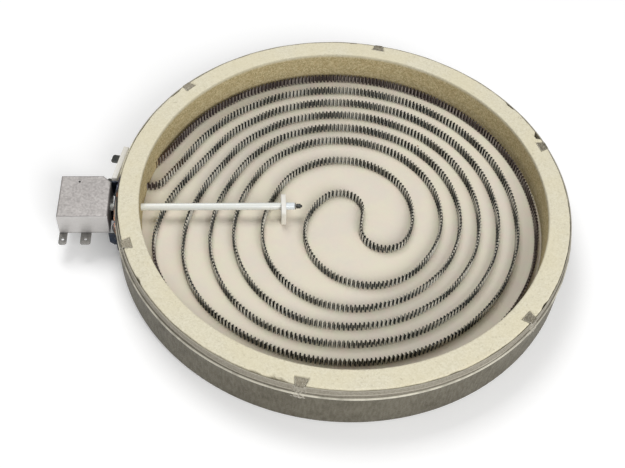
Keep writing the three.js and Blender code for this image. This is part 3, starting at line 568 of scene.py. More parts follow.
corrugate, given, gives = geometry_tree("corrugated_strip", {
    "Wave Length": "NodeSocketFloat", "Wave Half Width": "NodeSocketFloat", "Squareness": "NodeSocketFloat",
    "Strip Thickness": "NodeSocketFloat", "Strip Height": "NodeSocketFloat", "Samples": "NodeSocketFloat",
    "Material": "NodeSocketMaterial",
})
line = add(corrugate, "GeometryNodeMeshToCurve", {"Mesh": given["Geometry"]}).outputs[0]
step = sum_of(corrugate, "DIVIDE", given["Wave Length"], given["Samples"])
line = add(corrugate, "GeometryNodeResampleCurve", {"Curve": line, "Length": step}, mode="LENGTH").outputs[0]
travelled = add(corrugate, "GeometryNodeSplineParameter").outputs["Length"]
turns = sum_of(corrugate, "DIVIDE", travelled, given["Wave Length"])
phase = sum_of(corrugate, "MULTIPLY", turns, 2 * math.pi)
bend_side = sum_of(corrugate, "SINE", phase)
swing = sum_of(corrugate, "MULTIPLY", bend_side, given["Squareness"])
full_swing = sum_of(corrugate, "TANH", given["Squareness"])
swing = sum_of(corrugate, "DIVIDE", sum_of(corrugate, "TANH", swing), full_swing)
swing = sum_of(corrugate, "MULTIPLY", swing, given["Wave Half Width"])
way = add(corrugate, "GeometryNodeInputTangent").outputs[0]
across = add(corrugate, "ShaderNodeVectorMath", {
    0: way, 1: (0, 0, 1),
}, operation="CROSS_PRODUCT").outputs[0]
offset = add(corrugate, "ShaderNodeVectorMath", {0: across, "Scale": swing}, operation="SCALE").outputs[0]
line = add(corrugate, "GeometryNodeSetPosition", {"Geometry": line, "Offset": offset}).outputs[0]
swung_way = add(corrugate, "GeometryNodeInputTangent").outputs[0]
facing = add(corrugate, "ShaderNodeVectorMath", {
    0: swung_way, 1: (0, 0, 1),
}, operation="CROSS_PRODUCT").outputs[0]
line_place = add(corrugate, "GeometryNodeInputPosition").outputs[0]
for title, value, kind in (
    ("bend_side", bend_side, "FLOAT"),
    ("facing", facing, "FLOAT_VECTOR"),
    ("line_place", line_place, "FLOAT_VECTOR"),
):
    line = add(corrugate, "GeometryNodeStoreNamedAttribute", {
        "Geometry": line, "Name": title, "Value": value,
    }, data_type=kind, domain="POINT").outputs[0]
line = add(corrugate, "GeometryNodeSetCurveNormal", {"Curve": line}, mode="Z_UP").outputs[0]
section = add(corrugate, "GeometryNodeCurvePrimitiveQuadrilateral", {
    "Width": given["Strip Thickness"], "Height": given["Strip Height"],
}).outputs[0]
strip = add(corrugate, "GeometryNodeCurveToMesh", {
    "Curve": line, "Profile Curve": section, "Fill Caps": True,
}).outputs[0]
# Which of the strip's two faces each point is on, from how it lies off the line that it grew along.
mesh_place = add(corrugate, "GeometryNodeInputPosition").outputs[0]
was_place, was_facing = (
    add(corrugate, "GeometryNodeInputNamedAttribute", {"Name": title}, data_type="FLOAT_VECTOR").outputs[0]
    for title in ("line_place", "facing")
)
off_line = add(corrugate, "ShaderNodeVectorMath", {
    0: mesh_place, 1: was_place,
}, operation="SUBTRACT").outputs[0]
face_side = add(corrugate, "ShaderNodeVectorMath", {
    0: off_line, 1: was_facing,
}, operation="DOT_PRODUCT").outputs["Value"]
strip = add(corrugate, "GeometryNodeStoreNamedAttribute", {
    "Geometry": strip, "Name": "face_side", "Value": sum_of(corrugate, "SIGN", face_side),
}, data_type="FLOAT", domain="POINT").outputs[0]
strip = add(corrugate, "GeometryNodeSetShadeSmooth", {"Geometry": strip, "Shade Smooth": True}).outputs[0]
fold = add(corrugate, "GeometryNodeInputMeshEdgeAngle").outputs["Unsigned Angle"]
is_corner = add(corrugate, "FunctionNodeCompare", {
    0: fold, 1: math.radians(70),
}, operation="GREATER_THAN").outputs[0]
strip = add(corrugate, "GeometryNodeStoreNamedAttribute", {
    "Geometry": strip, "Name": "sharp_edge", "Value": is_corner,
}, data_type="BOOLEAN", domain="EDGE").outputs[0]
strip = add(corrugate, "GeometryNodeRealizeInstances", {"Geometry": strip}).outputs[0]
strip = add(corrugate, "GeometryNodeSetMaterial", {
    "Geometry": strip, "Material": given["Material"],
}).outputs[0]
corrugate.links.new(strip, gives["Geometry"])

ribbon_alloy, tree, shader = new_material("ribbon_alloy", Metallic=0.55, Specular_IOR_Level=0.45)
place, parts = coordinates(tree)
stain = placed(tree, heat_stain, Patch_Size=0.022, Shift=0.3)
flat_place = add(tree, "ShaderNodeVectorMath", {0: place, 1: (1, 1, 0)}, operation="MULTIPLY").outputs[0]
from_centre = add(tree, "ShaderNodeVectorMath", {0: flat_place}, operation="LENGTH").outputs["Value"]
hue = placed(tree, heat_stain, Patch_Size=0.0045, Shift=5.5)
oxide = tinted(tree, stain["Patches"], (0.022, 0.028, 0.032), (0.045, 0.044, 0.034))
oxide = tinted(tree, sum_of(tree, "MULTIPLY", hue["Patches"], 0.55), oxide, (0.030, 0.052, 0.040))
oxide = tinted(tree, sum_of(tree, "MULTIPLY", stain["Mottle"], 0.4), oxide, (0.080, 0.066, 0.070))
outermost = spread(tree, from_centre, outer_loop - 4 * mm, outer_loop - 1 * mm, 0.0, 0.75)
oxide = tinted(tree, outermost, oxide, (0.075, 0.048, 0.050))
end_place = outwards(math.radians(160), outer_loop + 3 * mm, ribbon_high.z)
to_end = add(tree, "ShaderNodeVectorMath", {0: place, 1: end_place}, operation="DISTANCE").outputs["Value"]
oxide = tinted(tree, spread(tree, to_end, 6 * mm, 26 * mm, 0.85, 0.0), oxide, (0.110, 0.055, 0.022))
# The hollow side of each corrugation is painted paler than its crest, and palest near the strip's top edge.
bend_side = add(tree, "ShaderNodeAttribute", attribute_name="bend_side").outputs["Fac"]
face_side = add(tree, "ShaderNodeAttribute", attribute_name="face_side").outputs["Fac"]
hollow = sum_of(tree, "MULTIPLY", sum_of(tree, "MULTIPLY", face_side, bend_side), -1.0)
hollow = spread(tree, hollow, 0.0, 0.45, 0.0, 0.90)
pale_hollow_tone = tinted(tree, hue["Mottle"], (0.520, 0.525, 0.480), (0.640, 0.640, 0.600))
high_up = spread(tree, parts["Z"], ribbon_high.z - 5 * mm, ribbon_high.z - 1 * mm)
pale_hollow_tone = tinted(tree, high_up, pale_hollow_tone, (0.800, 0.770, 0.680))
pale_hollow_tone = tinted(tree, outermost, pale_hollow_tone, (0.170, 0.130, 0.125))
oxide = tinted(tree, hollow, oxide, pale_hollow_tone)
tree.links.new(spread(tree, hollow, 0.0, 0.9, 0.50, 0.05), shader.inputs["Metallic"])
tree.links.new(oxide, shader.inputs["Base Color"])
tree.links.new(spread(tree, stain["Mottle"], 0.0, 1.0, 0.38, 0.62), shader.inputs["Roughness"])
bumped(tree, shader, stain["Mottle"], 0.3, 0.00006)

ribbon_middle = (ribbon_low.z + ribbon_high.z) / 2
ribbon = wire("ribbon_strip", [(p.x, p.y, ribbon_middle) for p in ribbon_points])
grown(ribbon, corrugate, {
    "Wave Length": 2.5 * mm, "Wave Half Width": wave_half, "Squareness": 1.5, "Strip Thickness": 0.12 * mm,
    "Strip Height": ribbon_high.z - ribbon_low.z, "Samples": 10.0, "Material": ribbon_alloy,
})
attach(ribbon, "element")
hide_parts("heater_ribbon")


# ---- The insulation cake ----------------------------------------------------------------------------
# Microporous powder, pressed into the dish with the ribbon standing in it. It is soft and smooth, and
# the ribbon has raised a slight lip on each side and tinted it pink and yellow.

cake_low, cake_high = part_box("base_insulation")
cake_radius = cake_high.x
cake_top = cake_high.z
lead_way = kdtree.KDTree(len(ribbon_points))
for i, point in enumerate(ribbon_points):
    lead_way.insert((point.x, point.y, 0), i)
lead_way.balance()


def to_ribbon(x, y):
    """Distance from a place on the cake to the ribbon's line."""
    _, nearest, _ = lead_way.find((x, y, 0))
    shortest = 1.0
    for i in (max(0, nearest - 1), min(len(ribbon_points) - 2, nearest)):
        start, end = ribbon_points[i], ribbon_points[i + 1]
        along = max(0.0, min(1.0, (Vector((x, y)) - start).dot(end - start) / (end - start).length_squared))
        shortest = min(shortest, (start + (end - start) * along - Vector((x, y))).length)
    return shortest


def cake_swell(radius, height, angle):
    """The cake's top, raised in a lip beside the ribbon and slightly uneven elsewhere."""
    if height < cake_top - 1e-6 or radius > ring_inner + 2 * mm:
        return radius, height
    x, y = radius * math.cos(angle), radius * math.sin(angle)
    away = to_ribbon(x, y)
    lip = 0.28 * mm * math.exp(-((away - 1.9 * mm) / (0.9 * mm)) ** 2)
    slow = 0.16 * mm * noise.noise(Vector((x, y, 0)) * 45)
    fine = 0.05 * mm * noise.noise(Vector((x, y, 7)) * 420)
    return radius, height + lip + slow + fine - 0.25 * mm


cake_rows = [(ring_inner + 1 * mm) * i / 118 for i in range(1, 119)]
cake_profile = [
    (0, cake_low.z),
    (cake_radius - floor_corner, cake_low.z),
    (cake_radius, cake_low.z + floor_corner),
    (cake_radius, cake_top),
    *[(r, cake_top) for r in reversed(cake_rows)],
    (0, cake_top - 0.25 * mm),
]
cake = turned("insulation_cake", cake_profile, 540, cake_swell)

# Moulded mineral: pale grains of several tones, pits between them, and a height for both.
mineral, given, gives = effect_group(
    "moulded_mineral", {"Grain Size": 0.0012, "Pit Share": 0.2}, ["Grains", "Pits", "Height"]
)
place, _ = coordinates(mineral)
per_grain = sum_of(mineral, "DIVIDE", 1.0, given["Grain Size"])
cells = add(mineral, "ShaderNodeTexVoronoi", {"Vector": place, "Scale": per_grain})
grain_tone = add(mineral, "ShaderNodeSeparateColor", {0: cells.outputs["Color"]}).outputs[0]
powder = add(mineral, "ShaderNodeTexNoise", {
    "Vector": place, "Scale": per_grain, "Detail": 5.0, "Roughness": 0.7,
})
pit_noise = add(mineral, "ShaderNodeTexNoise", {
    "Vector": place, "Scale": sum_of(mineral, "MULTIPLY", per_grain, 0.45), "Detail": 6.0, "Roughness": 0.8,
})
pit_from = sum_of(mineral, "SUBTRACT", 0.78, given["Pit Share"])
pit_to = sum_of(mineral, "ADD", pit_from, 0.07)
pit_mask = spread(mineral, pit_noise.outputs["Fac"], pit_from, pit_to)
mineral.links.new(grain_tone, gives["Grains"])
mineral.links.new(pit_mask, gives["Pits"])
raised = sum_of(mineral, "ADD", sum_of(mineral, "MULTIPLY", grain_tone, 0.35), powder.outputs["Fac"])
mineral.links.new(sum_of(mineral, "SUBTRACT", raised, pit_mask), gives["Height"])

near = cake.data.attributes.new("near_ribbon", "FLOAT", "POINT")
for i, vertex in enumerate(cake.data.vertices):
    away = to_ribbon(vertex.co.x, vertex.co.y) if vertex.co.z > cake_low.z + 6 * mm else 1.0
    near.data[i].value = math.exp(-((away / (3.4 * mm)) ** 2))

insulation_cake, tree, shader = new_material("insulation_cake", Roughness=0.95, Specular_IOR_Level=0.2)
place, parts = coordinates(tree)
stain = placed(tree, heat_stain, Patch_Size=0.020, Shift=1.7)
grain = placed(tree, mineral, Grain_Size=0.0009, Pit_Share=0.10)
beside = add(tree, "ShaderNodeAttribute", attribute_name="near_ribbon").outputs["Fac"]
small_stain = placed(tree, heat_stain, Patch_Size=0.007, Shift=3.3)
pale = tinted(tree, stain["Patches"], (0.775, 0.725, 0.585), (0.745, 0.690, 0.590))
pale = tinted(tree, sum_of(tree, "MULTIPLY", small_stain["Patches"], 0.35), pale, (0.790, 0.670, 0.590))
tint = tinted(tree, small_stain["Patches"], (0.760, 0.740, 0.540), (0.820, 0.650, 0.540))
tint = tinted(tree, sum_of(tree, "MULTIPLY", small_stain["Mottle"], 0.5), tint, (0.660, 0.700, 0.560))
pale = tinted(tree, sum_of(tree, "MULTIPLY", beside, 0.65), pale, tint)
# Right beside the ribbon the cake is painted darker: painted shade at the ribbon's foot.
ribbon_foot_shade = spread(tree, beside, 0.80, 1.0, 0.0, 0.40)
pale = tinted(tree, ribbon_foot_shade, pale, (0.420, 0.350, 0.250))
specks = sum_of(tree, "MULTIPLY", grain["Pits"], 0.30)
pale = tinted(tree, specks, pale, (0.520, 0.450, 0.340))
# A few rust spots, flaked off the strip.
rust_spots = add(tree, "ShaderNodeTexVoronoi", {"Vector": place, "Scale": 55.0, "Randomness": 1.0})
rust_chance = add(tree, "ShaderNodeSeparateColor", {0: rust_spots.outputs["Color"]}).outputs[0]
rust_spot = spread(tree, rust_spots.outputs["Distance"], 0.045, 0.020)
rust = sum_of(tree, "MULTIPLY", rust_spot, spread(tree, rust_chance, 0.80, 0.84))
pale = tinted(tree, rust, pale, (0.250, 0.110, 0.045))
tree.links.new(pale, shader.inputs["Base Color"])
bumped(tree, shader, grain["Height"], 0.25, 0.00010)
cake.data.materials.append(insulation_cake)
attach(cake, "element")
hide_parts("base_insulation")


# ---- The insulating ring ----------------------------------------------------------------------------
# Vermiculite grains bound and moulded into a square ring. It stands on the cake inside the dish's neck,
# and its flat top is what the glass rests on. The folded tongues are pressed into its outer edge.

ring_low, ring_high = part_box("insulation_ring")
ring_outer = ring_high.x
tongue_angles = [math.radians(16.5 + 60 * i) for i in range(6)]
tongue_reach = 5.6 * mm
leaf_half, waist_half = 3.9 * mm, 2.5 * mm
seat_depth = 1.25 * mm


def in_seat(radius, angle):
    """How far a place on the ring's top lies inside a tongue's seat, 0 outside and 1 well inside."""
    deepest = 0.0
    for middle in tongue_angles:
        turn = math.remainder(angle - middle, 2 * math.pi)
        aside = abs(radius * math.sin(turn))
        if aside > 8 * mm:
            continue
        share = (neck_radius - radius * math.cos(turn)) / tongue_reach
        half = waist_half + (leaf_half - waist_half) * max(0.0, share) + 0.35 * mm
        inside = min(half - aside, (1.06 - share) * tongue_reach)
        deepest = max(deepest, min(1.0, max(0.0, inside / (0.45 * mm) + 0.5)))
    return deepest


# Places where the ring's outer edge is knocked: direction, half width, depth and reach inwards.
ring_chips = [
    (math.radians(angle), half * mm, depth * mm, reach * mm) for angle, half, depth, reach in (
        (251.2, 5.0, 1.5, 2.2), (246, 3.0, 0.9, 1.6), (20.3, 2.6, 2.8, 3.2), (33, 3.5, 1.0, 1.6),
        (141, 4.0, 0.7, 1.5), (208, 2.5, 0.6, 1.2), (292, 3.0, 0.5, 1.2), (322, 3.0, 0.7, 1.4),
        (84, 2.5, 0.6, 1.2),
    )
]


def ring_surface(radius, height, angle):
    """Grains on every face, knocks on the outer edge and the tongues' seats in the top."""
    x, y = radius * math.cos(angle), radius * math.sin(angle)
    spot = Vector((x, y, height))
    grain = noise.noise(spot * 900) * 0.10 * mm + noise.noise(spot * 380) * 0.10 * mm
    slow = noise.noise(spot * 60) * 0.18 * mm
    top = height > element_top - 1.2 * mm
    if top:
        height -= abs(grain) + abs(slow) * 0.5
        ragged = max(0.0, 1 - (ring_outer - radius) / (1.2 * mm))
        radius -= ragged * (abs(slow) * 2.5 + abs(grain) * 1.5)
        height -= seat_depth * in_seat(radius, angle)
        for middle, half, depth, reach in ring_chips:
            aside = abs(math.remainder(angle - middle, 2 * math.pi)) * radius
            if aside < 2 * half:
                edge = max(0.0, 1 - (ring_outer - radius) / reach)
                knock = depth * edge * math.exp(-((aside / half) ** 4)) * (1 + 4 * grain / mm)
                height -= 0.7 * knock
                radius -= 0.8 * knock
    if radius < ring_inner + 0.9 * mm:
        radius += grain * 0.8 + slow * 0.5
    return radius, height


edge_round = 0.9 * mm
side_rows = 22
top_rows = 20
wall_height = element_top - edge_round - ring_low.z
inner_wall = [(ring_inner, ring_low.z + wall_height * i / side_rows) for i in range(side_rows)]
inner_edge = quarter(ring_inner + edge_round, element_top - edge_round, edge_round, 180, 90, 4)
outer_edge = quarter(ring_outer - edge_round, element_top - edge_round, edge_round, 90, 0, 4)
flat_top = [
    (ring_inner + edge_round + (ring_outer - ring_inner - 2 * edge_round) * i / top_rows, element_top)
    for i in range(1, top_rows)
]
ring = turned(
    "insulating_ring",
    [
        *inner_wall, *inner_edge, *flat_top, *outer_edge,
        (ring_outer, ring_low.z + 9 * mm), (ring_outer, ring_low.z),
    ],
    1500, ring_surface,
)
cut_away(ring, [
    rod_cutter(tube_radius + 0.3 * mm, (-ring_outer - 2 * mm, 0, rod_height), (1, 0, 0), 18 * mm),
    body_opening(ring_inner + 6.2 * mm, ring_outer + 4 * mm),
])
ring.data.shade_smooth()
ring.data.set_sharp_from_angle(angle=math.radians(50))

vermiculite, tree, shader = new_material("vermiculite", Roughness=0.95, Specular_IOR_Level=0.2)
place, parts = coordinates(tree)
stain = placed(tree, heat_stain, Patch_Size=0.030, Shift=4.1)
grain = placed(tree, mineral, Grain_Size=0.0008, Pit_Share=0.19)
cream = tinted(tree, grain["Grains"], (0.700, 0.650, 0.490), (0.800, 0.755, 0.600))
cream = tinted(tree, sum_of(tree, "MULTIPLY", stain["Patches"], 0.45), cream, (0.760, 0.690, 0.480))
wall_share = spread(tree, parts["Z"], element_top - 0.8 * mm, element_top - 3.5 * mm)
flat_place = add(tree, "ShaderNodeVectorMath", {0: place, 1: (1, 1, 0)}, operation="MULTIPLY").outputs[0]
from_centre = add(tree, "ShaderNodeVectorMath", {0: flat_place}, operation="LENGTH").outputs["Value"]
inside_share = spread(tree, from_centre, ring_inner + 1.2 * mm, ring_inner + 0.6 * mm)
tan = tinted(tree, grain["Grains"], (0.430, 0.350, 0.175), (0.740, 0.640, 0.390))
tan = tinted(tree, sum_of(tree, "MULTIPLY", stain["Mottle"], 0.30), tan, (0.470, 0.330, 0.150))
cream = tinted(tree, sum_of(tree, "MULTIPLY", wall_share, inside_share), cream, tan)
cream = tinted(tree, sum_of(tree, "MULTIPLY", grain["Pits"], 0.28), cream, (0.440, 0.380, 0.250))
tree.links.new(cream, shader.inputs["Base Color"])
bumped(tree, shader, grain["Height"], 0.6, 0.00022)
ring.data.materials.clear()
ring.data.materials.append(vermiculite)
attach(ring, "element")
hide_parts("insulation_ring")


# ---- The folded tongues -----------------------------------------------------------------------------
# Six dovetail tongues of the dish's own steel, hammered over the ring's edge to hold it down. The sheet
# below each one is crumpled where it was driven inwards.

crumple_half = 5.2 * mm


def tongue_sheet():
    """One tongue on the +X side: up the neck, over the ring's edge, and a dovetail leaf on its top."""
    foot, lip = shoulder - 3.0 * mm, element_top - 0.35 * mm
    fold_round = 1.0 * mm
    fold_from = neck_radius - 0.65 * mm
    rise = 26
    fold = 8
    flat_steps = 14
    path = []
    for i in range(rise + 1):
        share = i / rise
        path.append((neck_radius + 0.35 * mm + 1.25 * mm * max(0.0, 1 - share * 2.6) ** 0.5,
                     foot + (lip - fold_round - foot) * share, share))
    for i in range(1, fold + 1):
        turn = math.pi / 2 * i / fold
        folded_height = lip - fold_round + fold_round * math.sin(turn)
        path.append((fold_from + fold_round * math.cos(turn), folded_height, 1.0))
    for i in range(1, flat_steps + 1):
        share = i / flat_steps
        path.append((fold_from - (tongue_reach - 0.65 * mm) * share, lip - 0.15 * mm * share, 1 + share))
    across = 28
    mesh = bmesh.new()
    rows = []
    for radius, height, stage in path:
        row = []
        for j in range(across + 1):
            v = 2 * j / across - 1
            if stage < 1:
                ease = stage * stage * (3 - 2 * stage)
                half = crumple_half + (waist_half + 1.6 * mm - crumple_half) * max(0.0, ease * 1.6 - 0.6)
                fade = (1 - v * v) ** 0.5 * math.sin(math.pi * min(1.0, stage * 1.15 + 0.06)) ** 0.6
                pleat = 0.42 * mm * math.sin(v * 13 + 2.4 * math.sin(stage * 7)) * fade
                pleat += 0.30 * mm * math.sin(stage * 21 + v * 5) * fade
                out = radius - 0.55 * mm * v * v + pleat - 0.35 * mm * (1 - fade)
            else:
                half = waist_half + (leaf_half - waist_half) * max(0.0, stage - 1)
                out = radius
            row.append(mesh.verts.new((out, half * v, height)))
        rows.append(row)
    for low, high in zip(rows, rows[1:]):
        for j in range(across):
            mesh.faces.new((low[j], low[j + 1], high[j + 1], high[j]))
    return finished_mesh("one_tongue", mesh, 60)


one_tongue = tongue_sheet()
thicken = one_tongue.modifiers.new("sheet", "SOLIDIFY")
thicken.thickness = 0.45 * mm
thicken.offset = -1
keep_result(one_tongue)

fold_over, given, gives = geometry_tree("tongues_round_the_dish", {
    "Tongue": "NodeSocketObject", "Crumple": "NodeSocketFloat", "Crumple Size": "NodeSocketFloat",
    "Seed": "NodeSocketFloat", "Material": "NodeSocketMaterial",
})
shape = add(fold_over, "GeometryNodeObjectInfo", {"Object": given["Tongue"]}).outputs["Geometry"]
facing = add(fold_over, "GeometryNodeInputPosition").outputs[0]
facing = add(fold_over, "FunctionNodeAlignRotationToVector", {
    "Vector": facing,
}, axis="X", pivot_axis="Z").outputs[0]
copies = add(fold_over, "GeometryNodeInstanceOnPoints", {
    "Points": given["Geometry"], "Instance": shape, "Rotation": facing,
}).outputs[0]
spot = add(fold_over, "GeometryNodeInputPosition").outputs[0]
back = add(fold_over, "ShaderNodeVectorMath", {0: spot, 1: (-1, -1, 0)}, operation="MULTIPLY").outputs[0]
copies = add(fold_over, "GeometryNodeTranslateInstances", {
    "Instances": copies, "Translation": back, "Local Space": False,
}).outputs[0]
leaves = add(fold_over, "GeometryNodeRealizeInstances", {"Geometry": copies}).outputs[0]
wrinkle = add(fold_over, "ShaderNodeTexNoise", {
    "Vector": add(fold_over, "GeometryNodeInputPosition").outputs[0], "W": given["Seed"],
    "Scale": sum_of(fold_over, "DIVIDE", 1.0, given["Crumple Size"]), "Detail": 2.0,
}, noise_dimensions="4D").outputs["Color"]
wrinkle = add(fold_over, "ShaderNodeVectorMath", {
    0: wrinkle, 1: (0.5, 0.5, 0.5),
}, operation="SUBTRACT").outputs[0]
wrinkle = add(fold_over, "ShaderNodeVectorMath", {
    0: wrinkle, "Scale": given["Crumple"],
}, operation="SCALE").outputs[0]
leaves = add(fold_over, "GeometryNodeSetPosition", {"Geometry": leaves, "Offset": wrinkle}).outputs[0]
leaves = add(fold_over, "GeometryNodeSetMaterial", {
    "Geometry": leaves, "Material": given["Material"],
}).outputs[0]
fold_over.links.new(leaves, gives["Geometry"])

tongue_steel, tree, shader = new_material("tongue_steel", Metallic=0.55, Specular_IOR_Level=0.5)
place, parts = coordinates(tree)
stain = placed(tree, heat_stain, Patch_Size=0.006, Shift=2.2)
edge = placed(tree, worn, Reach=0.0003)
hatch = add(tree, "ShaderNodeTexNoise", {"Vector": place, "Scale": 900.0, "Detail": 2.0}).outputs["Fac"]
steel = tinted(tree, stain["Mottle"], (0.150, 0.130, 0.090), (0.330, 0.300, 0.235))
steel = tinted(tree, spread(tree, hatch, 0.55, 0.70, 0.0, 0.5), steel, (0.520, 0.490, 0.400))
upright = spread(tree, parts["Z"], element_top - 0.6 * mm, element_top - 1.4 * mm)
steel = tinted(tree, sum_of(tree, "MULTIPLY", upright, 0.45), steel, (0.480, 0.450, 0.380))
steel = tinted(tree, edge["Wear"], steel, (0.640, 0.610, 0.530))
tree.links.new(steel, shader.inputs["Base Color"])
tree.links.new(spread(tree, stain["Mottle"], 0.0, 1.0, 0.30, 0.55), shader.inputs["Roughness"])
bumped(tree, shader, stain["Mottle"], 0.5, 0.00015)

tongues = wire("dish_tongues", [outwards(a, 1 * mm) for a in tongue_angles])
grown(tongues, fold_over, {
    "Tongue": one_tongue, "Crumple": 0.5 * mm, "Crumple Size": 2.6 * mm, "Seed": 3.0,
    "Material": tongue_steel,
})
bpy.data.objects.remove(one_tongue)
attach(tongues, "element")


# ---- The terminal block and the heater's terminals --------------------------------------------------
# A pressed steatite block set through the dish's wall, and two oxidised strips that pass through its
# slots. Each is bent down behind the ring, where an end of the ribbon is welded to it.


def softened(name, node, round_off, keep_sharp=35, segments=2):
    """A CAD node's shape with its sharp edges taken off, as pressed and tumbled pieces have them."""
    made = bare_copy(name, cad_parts[node])
    edges = made.modifiers.new("edges", "BEVEL")
    edges.width = round_off
    edges.segments = segments
    edges.limit_method = "ANGLE"
    edges.angle_limit = math.radians(40)
    edges.use_clamp_overlap = True
    keep_result(made)
    made.data.shade_smooth()
    made.data.set_sharp_from_angle(angle=math.radians(keep_sharp))
    return made


def fitted(piece, body, slot, material, *nodes):
    """Gives a piece its finish, the body it moves with and the CAD nodes it stands for. The slot is not used.
    """
    piece.data.materials.clear()
    piece.data.materials.append(material)
    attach(piece, body)
    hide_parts(*nodes)
    return piece


steatite, tree, shader = new_material("steatite", Specular_IOR_Level=0.4, Roughness=0.6)
place, parts = coordinates(tree)
stain = placed(tree, heat_stain, Patch_Size=0.012, Shift=6.0)
grain = placed(tree, mineral, Grain_Size=0.0005, Pit_Share=0.14)
white = tinted(tree, stain["Patches"], (0.850, 0.835, 0.790), (0.830, 0.805, 0.730))
white = tinted(tree, sum_of(tree, "MULTIPLY", stain["Mottle"], 0.15), white, (0.620, 0.560, 0.440))
white = tinted(tree, sum_of(tree, "MULTIPLY", grain["Pits"], 0.5), white, (0.500, 0.440, 0.340))
tree.links.new(white, shader.inputs["Base Color"])
tree.links.new(spread(tree, grain["Grains"], 0.0, 1.0, 0.45, 0.70), shader.inputs["Roughness"])
bumped(tree, shader, grain["Height"], 0.35, 0.00008)

oxidised_steel, tree, shader = new_material("oxidised_steel", Metallic=0.75, Specular_IOR_Level=0.5)
place, parts = coordinates(tree)
stain = placed(tree, heat_stain, Patch_Size=0.010, Shift=3.4)
edge = placed(tree, worn, Reach=0.0002)
black = tinted(tree, stain["Patches"], (0.030, 0.036, 0.040), (0.060, 0.066, 0.056))
black = tinted(tree, sum_of(tree, "MULTIPLY", stain["Mottle"], 0.6), black, (0.115, 0.105, 0.085))
black = tinted(tree, sum_of(tree, "MULTIPLY", edge["Wear"], 0.7), black, (0.330, 0.320, 0.290))
tree.links.new(black, shader.inputs["Base Color"])
tree.links.new(spread(tree, stain["Mottle"], 0.0, 1.0, 0.35, 0.60), shader.inputs["Roughness"])
bumped(tree, shader, stain["Mottle"], 0.4, 0.00008)

terminal_block = softened("ceramic_block", "terminal_block", 0.5 * mm)
fitted(terminal_block, "element", "steatite", steatite, "terminal_block")
for number in (1, 2):
    strip_blade = softened(f"heater_blade_{number}", f"heater_terminal_{number}", 0.12 * mm)
    fitted(strip_blade, "element", "oxidised_steel", oxidised_steel, f"heater_terminal_{number}")


# ---- The limiter's tube, rod and plate --------------------------------------------------------------
# A metal rod inside a ceramic tube: hot, the rod grows more than the tube and pushes on the switch. The
# plate carries the tube over the ribbon, and a washer and a crimped nut hold the rod at its free end.


def rod_piece(name, profile, start, steps=64):
    """A piece turned about the rod's axis. Its profile is (radius, distance towards the middle)."""
    made = rod_shape(name, profile, (start, 0, rod_height), (1, 0, 0), steps)
    made.data.shade_smooth()
    made.data.set_sharp_from_angle(angle=math.radians(40))
    return made


def sleeve(bore, radius, length, round_off):
    """The profile of a short tube with its outer edges rounded."""
    near = quarter(radius - round_off, round_off, round_off, -90, 0, 4)
    far = quarter(radius - round_off, length - round_off, round_off, 0, 90, 4)
    return [(bore, 0), *near, *far, (bore, length)]


tube_ceramic, tree, shader = new_material(
    "tube_ceramic", Specular_IOR_Level=0.5, Coat_Weight=0.25, Coat_Roughness=0.2, Subsurface_Weight=0.05,
)
place, parts = coordinates(tree)
stain = placed(tree, heat_stain, Patch_Size=0.018, Shift=8.2)
grain = placed(tree, mineral, Grain_Size=0.0006, Pit_Share=0.10)
glaze = tinted(tree, stain["Patches"], (0.830, 0.840, 0.790), (0.860, 0.850, 0.790))
past_plate = spread(tree, parts["X"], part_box("standoff_plate")[0].x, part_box("standoff_plate")[1].x)
glaze = tinted(tree, past_plate, glaze, (0.800, 0.840, 0.860))
glaze = tinted(tree, sum_of(tree, "MULTIPLY", stain["Mottle"], 0.10), glaze, (0.560, 0.540, 0.440))
tree.links.new(glaze, shader.inputs["Base Color"])
tree.links.new(spread(tree, stain["Mottle"], 0.0, 1.0, 0.22, 0.40), shader.inputs["Roughness"])
bumped(tree, shader, grain["Height"], 0.12, 0.00005)

tube_length = tube_high.x - tube_low.x
tube_bore = 1.4 * mm
tube = rod_piece("ceramic_tube", sleeve(tube_bore, tube_radius, tube_length, 0.35 * mm), tube_low.x)
fitted(tube, "element", "tube_ceramic", tube_ceramic, "limiter_tube")

plate = softened("standoff", "standoff_plate", 0.45 * mm, segments=3)
fitted(plate, "element", "steatite", steatite, "standoff_plate")

terminal_steel, tree, shader = new_material("terminal_steel", Metallic=0.5, Specular_IOR_Level=0.5)
place, parts = coordinates(tree)
stain = placed(tree, heat_stain, Patch_Size=0.006, Shift=5.3)
edge = placed(tree, worn, Reach=0.0002)
plated = tinted(tree, stain["Patches"], (0.230, 0.225, 0.215), (0.310, 0.300, 0.280))
plated = tinted(tree, sum_of(tree, "MULTIPLY", stain["Mottle"], 0.5), plated, (0.160, 0.155, 0.140))
plated = tinted(tree, sum_of(tree, "MULTIPLY", edge["Wear"], 0.7), plated, (0.700, 0.700, 0.680))
tree.links.new(plated, shader.inputs["Base Color"])
tree.links.new(spread(tree, stain["Mottle"], 0.0, 1.0, 0.45, 0.65), shader.inputs["Roughness"])
bumped(tree, shader, stain["Mottle"], 0.3, 0.00005)

collar_low, collar_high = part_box("end_collar")
collar_radius = (collar_high.y - collar_low.y) / 2
washer_bore = 1.3 * mm
washer_profile = sleeve(washer_bore, collar_radius, collar_high.x - collar_low.x, 0.12 * mm)
washer = rod_piece("washer", washer_profile, collar_low.x)
fitted(washer, "element", "terminal_steel", terminal_steel, "end_collar")

nut = softened("crimped_nut", "rod_nut", 0.18 * mm)
fitted(nut, "element", "oxidised_steel", oxidised_steel, "rod_nut")

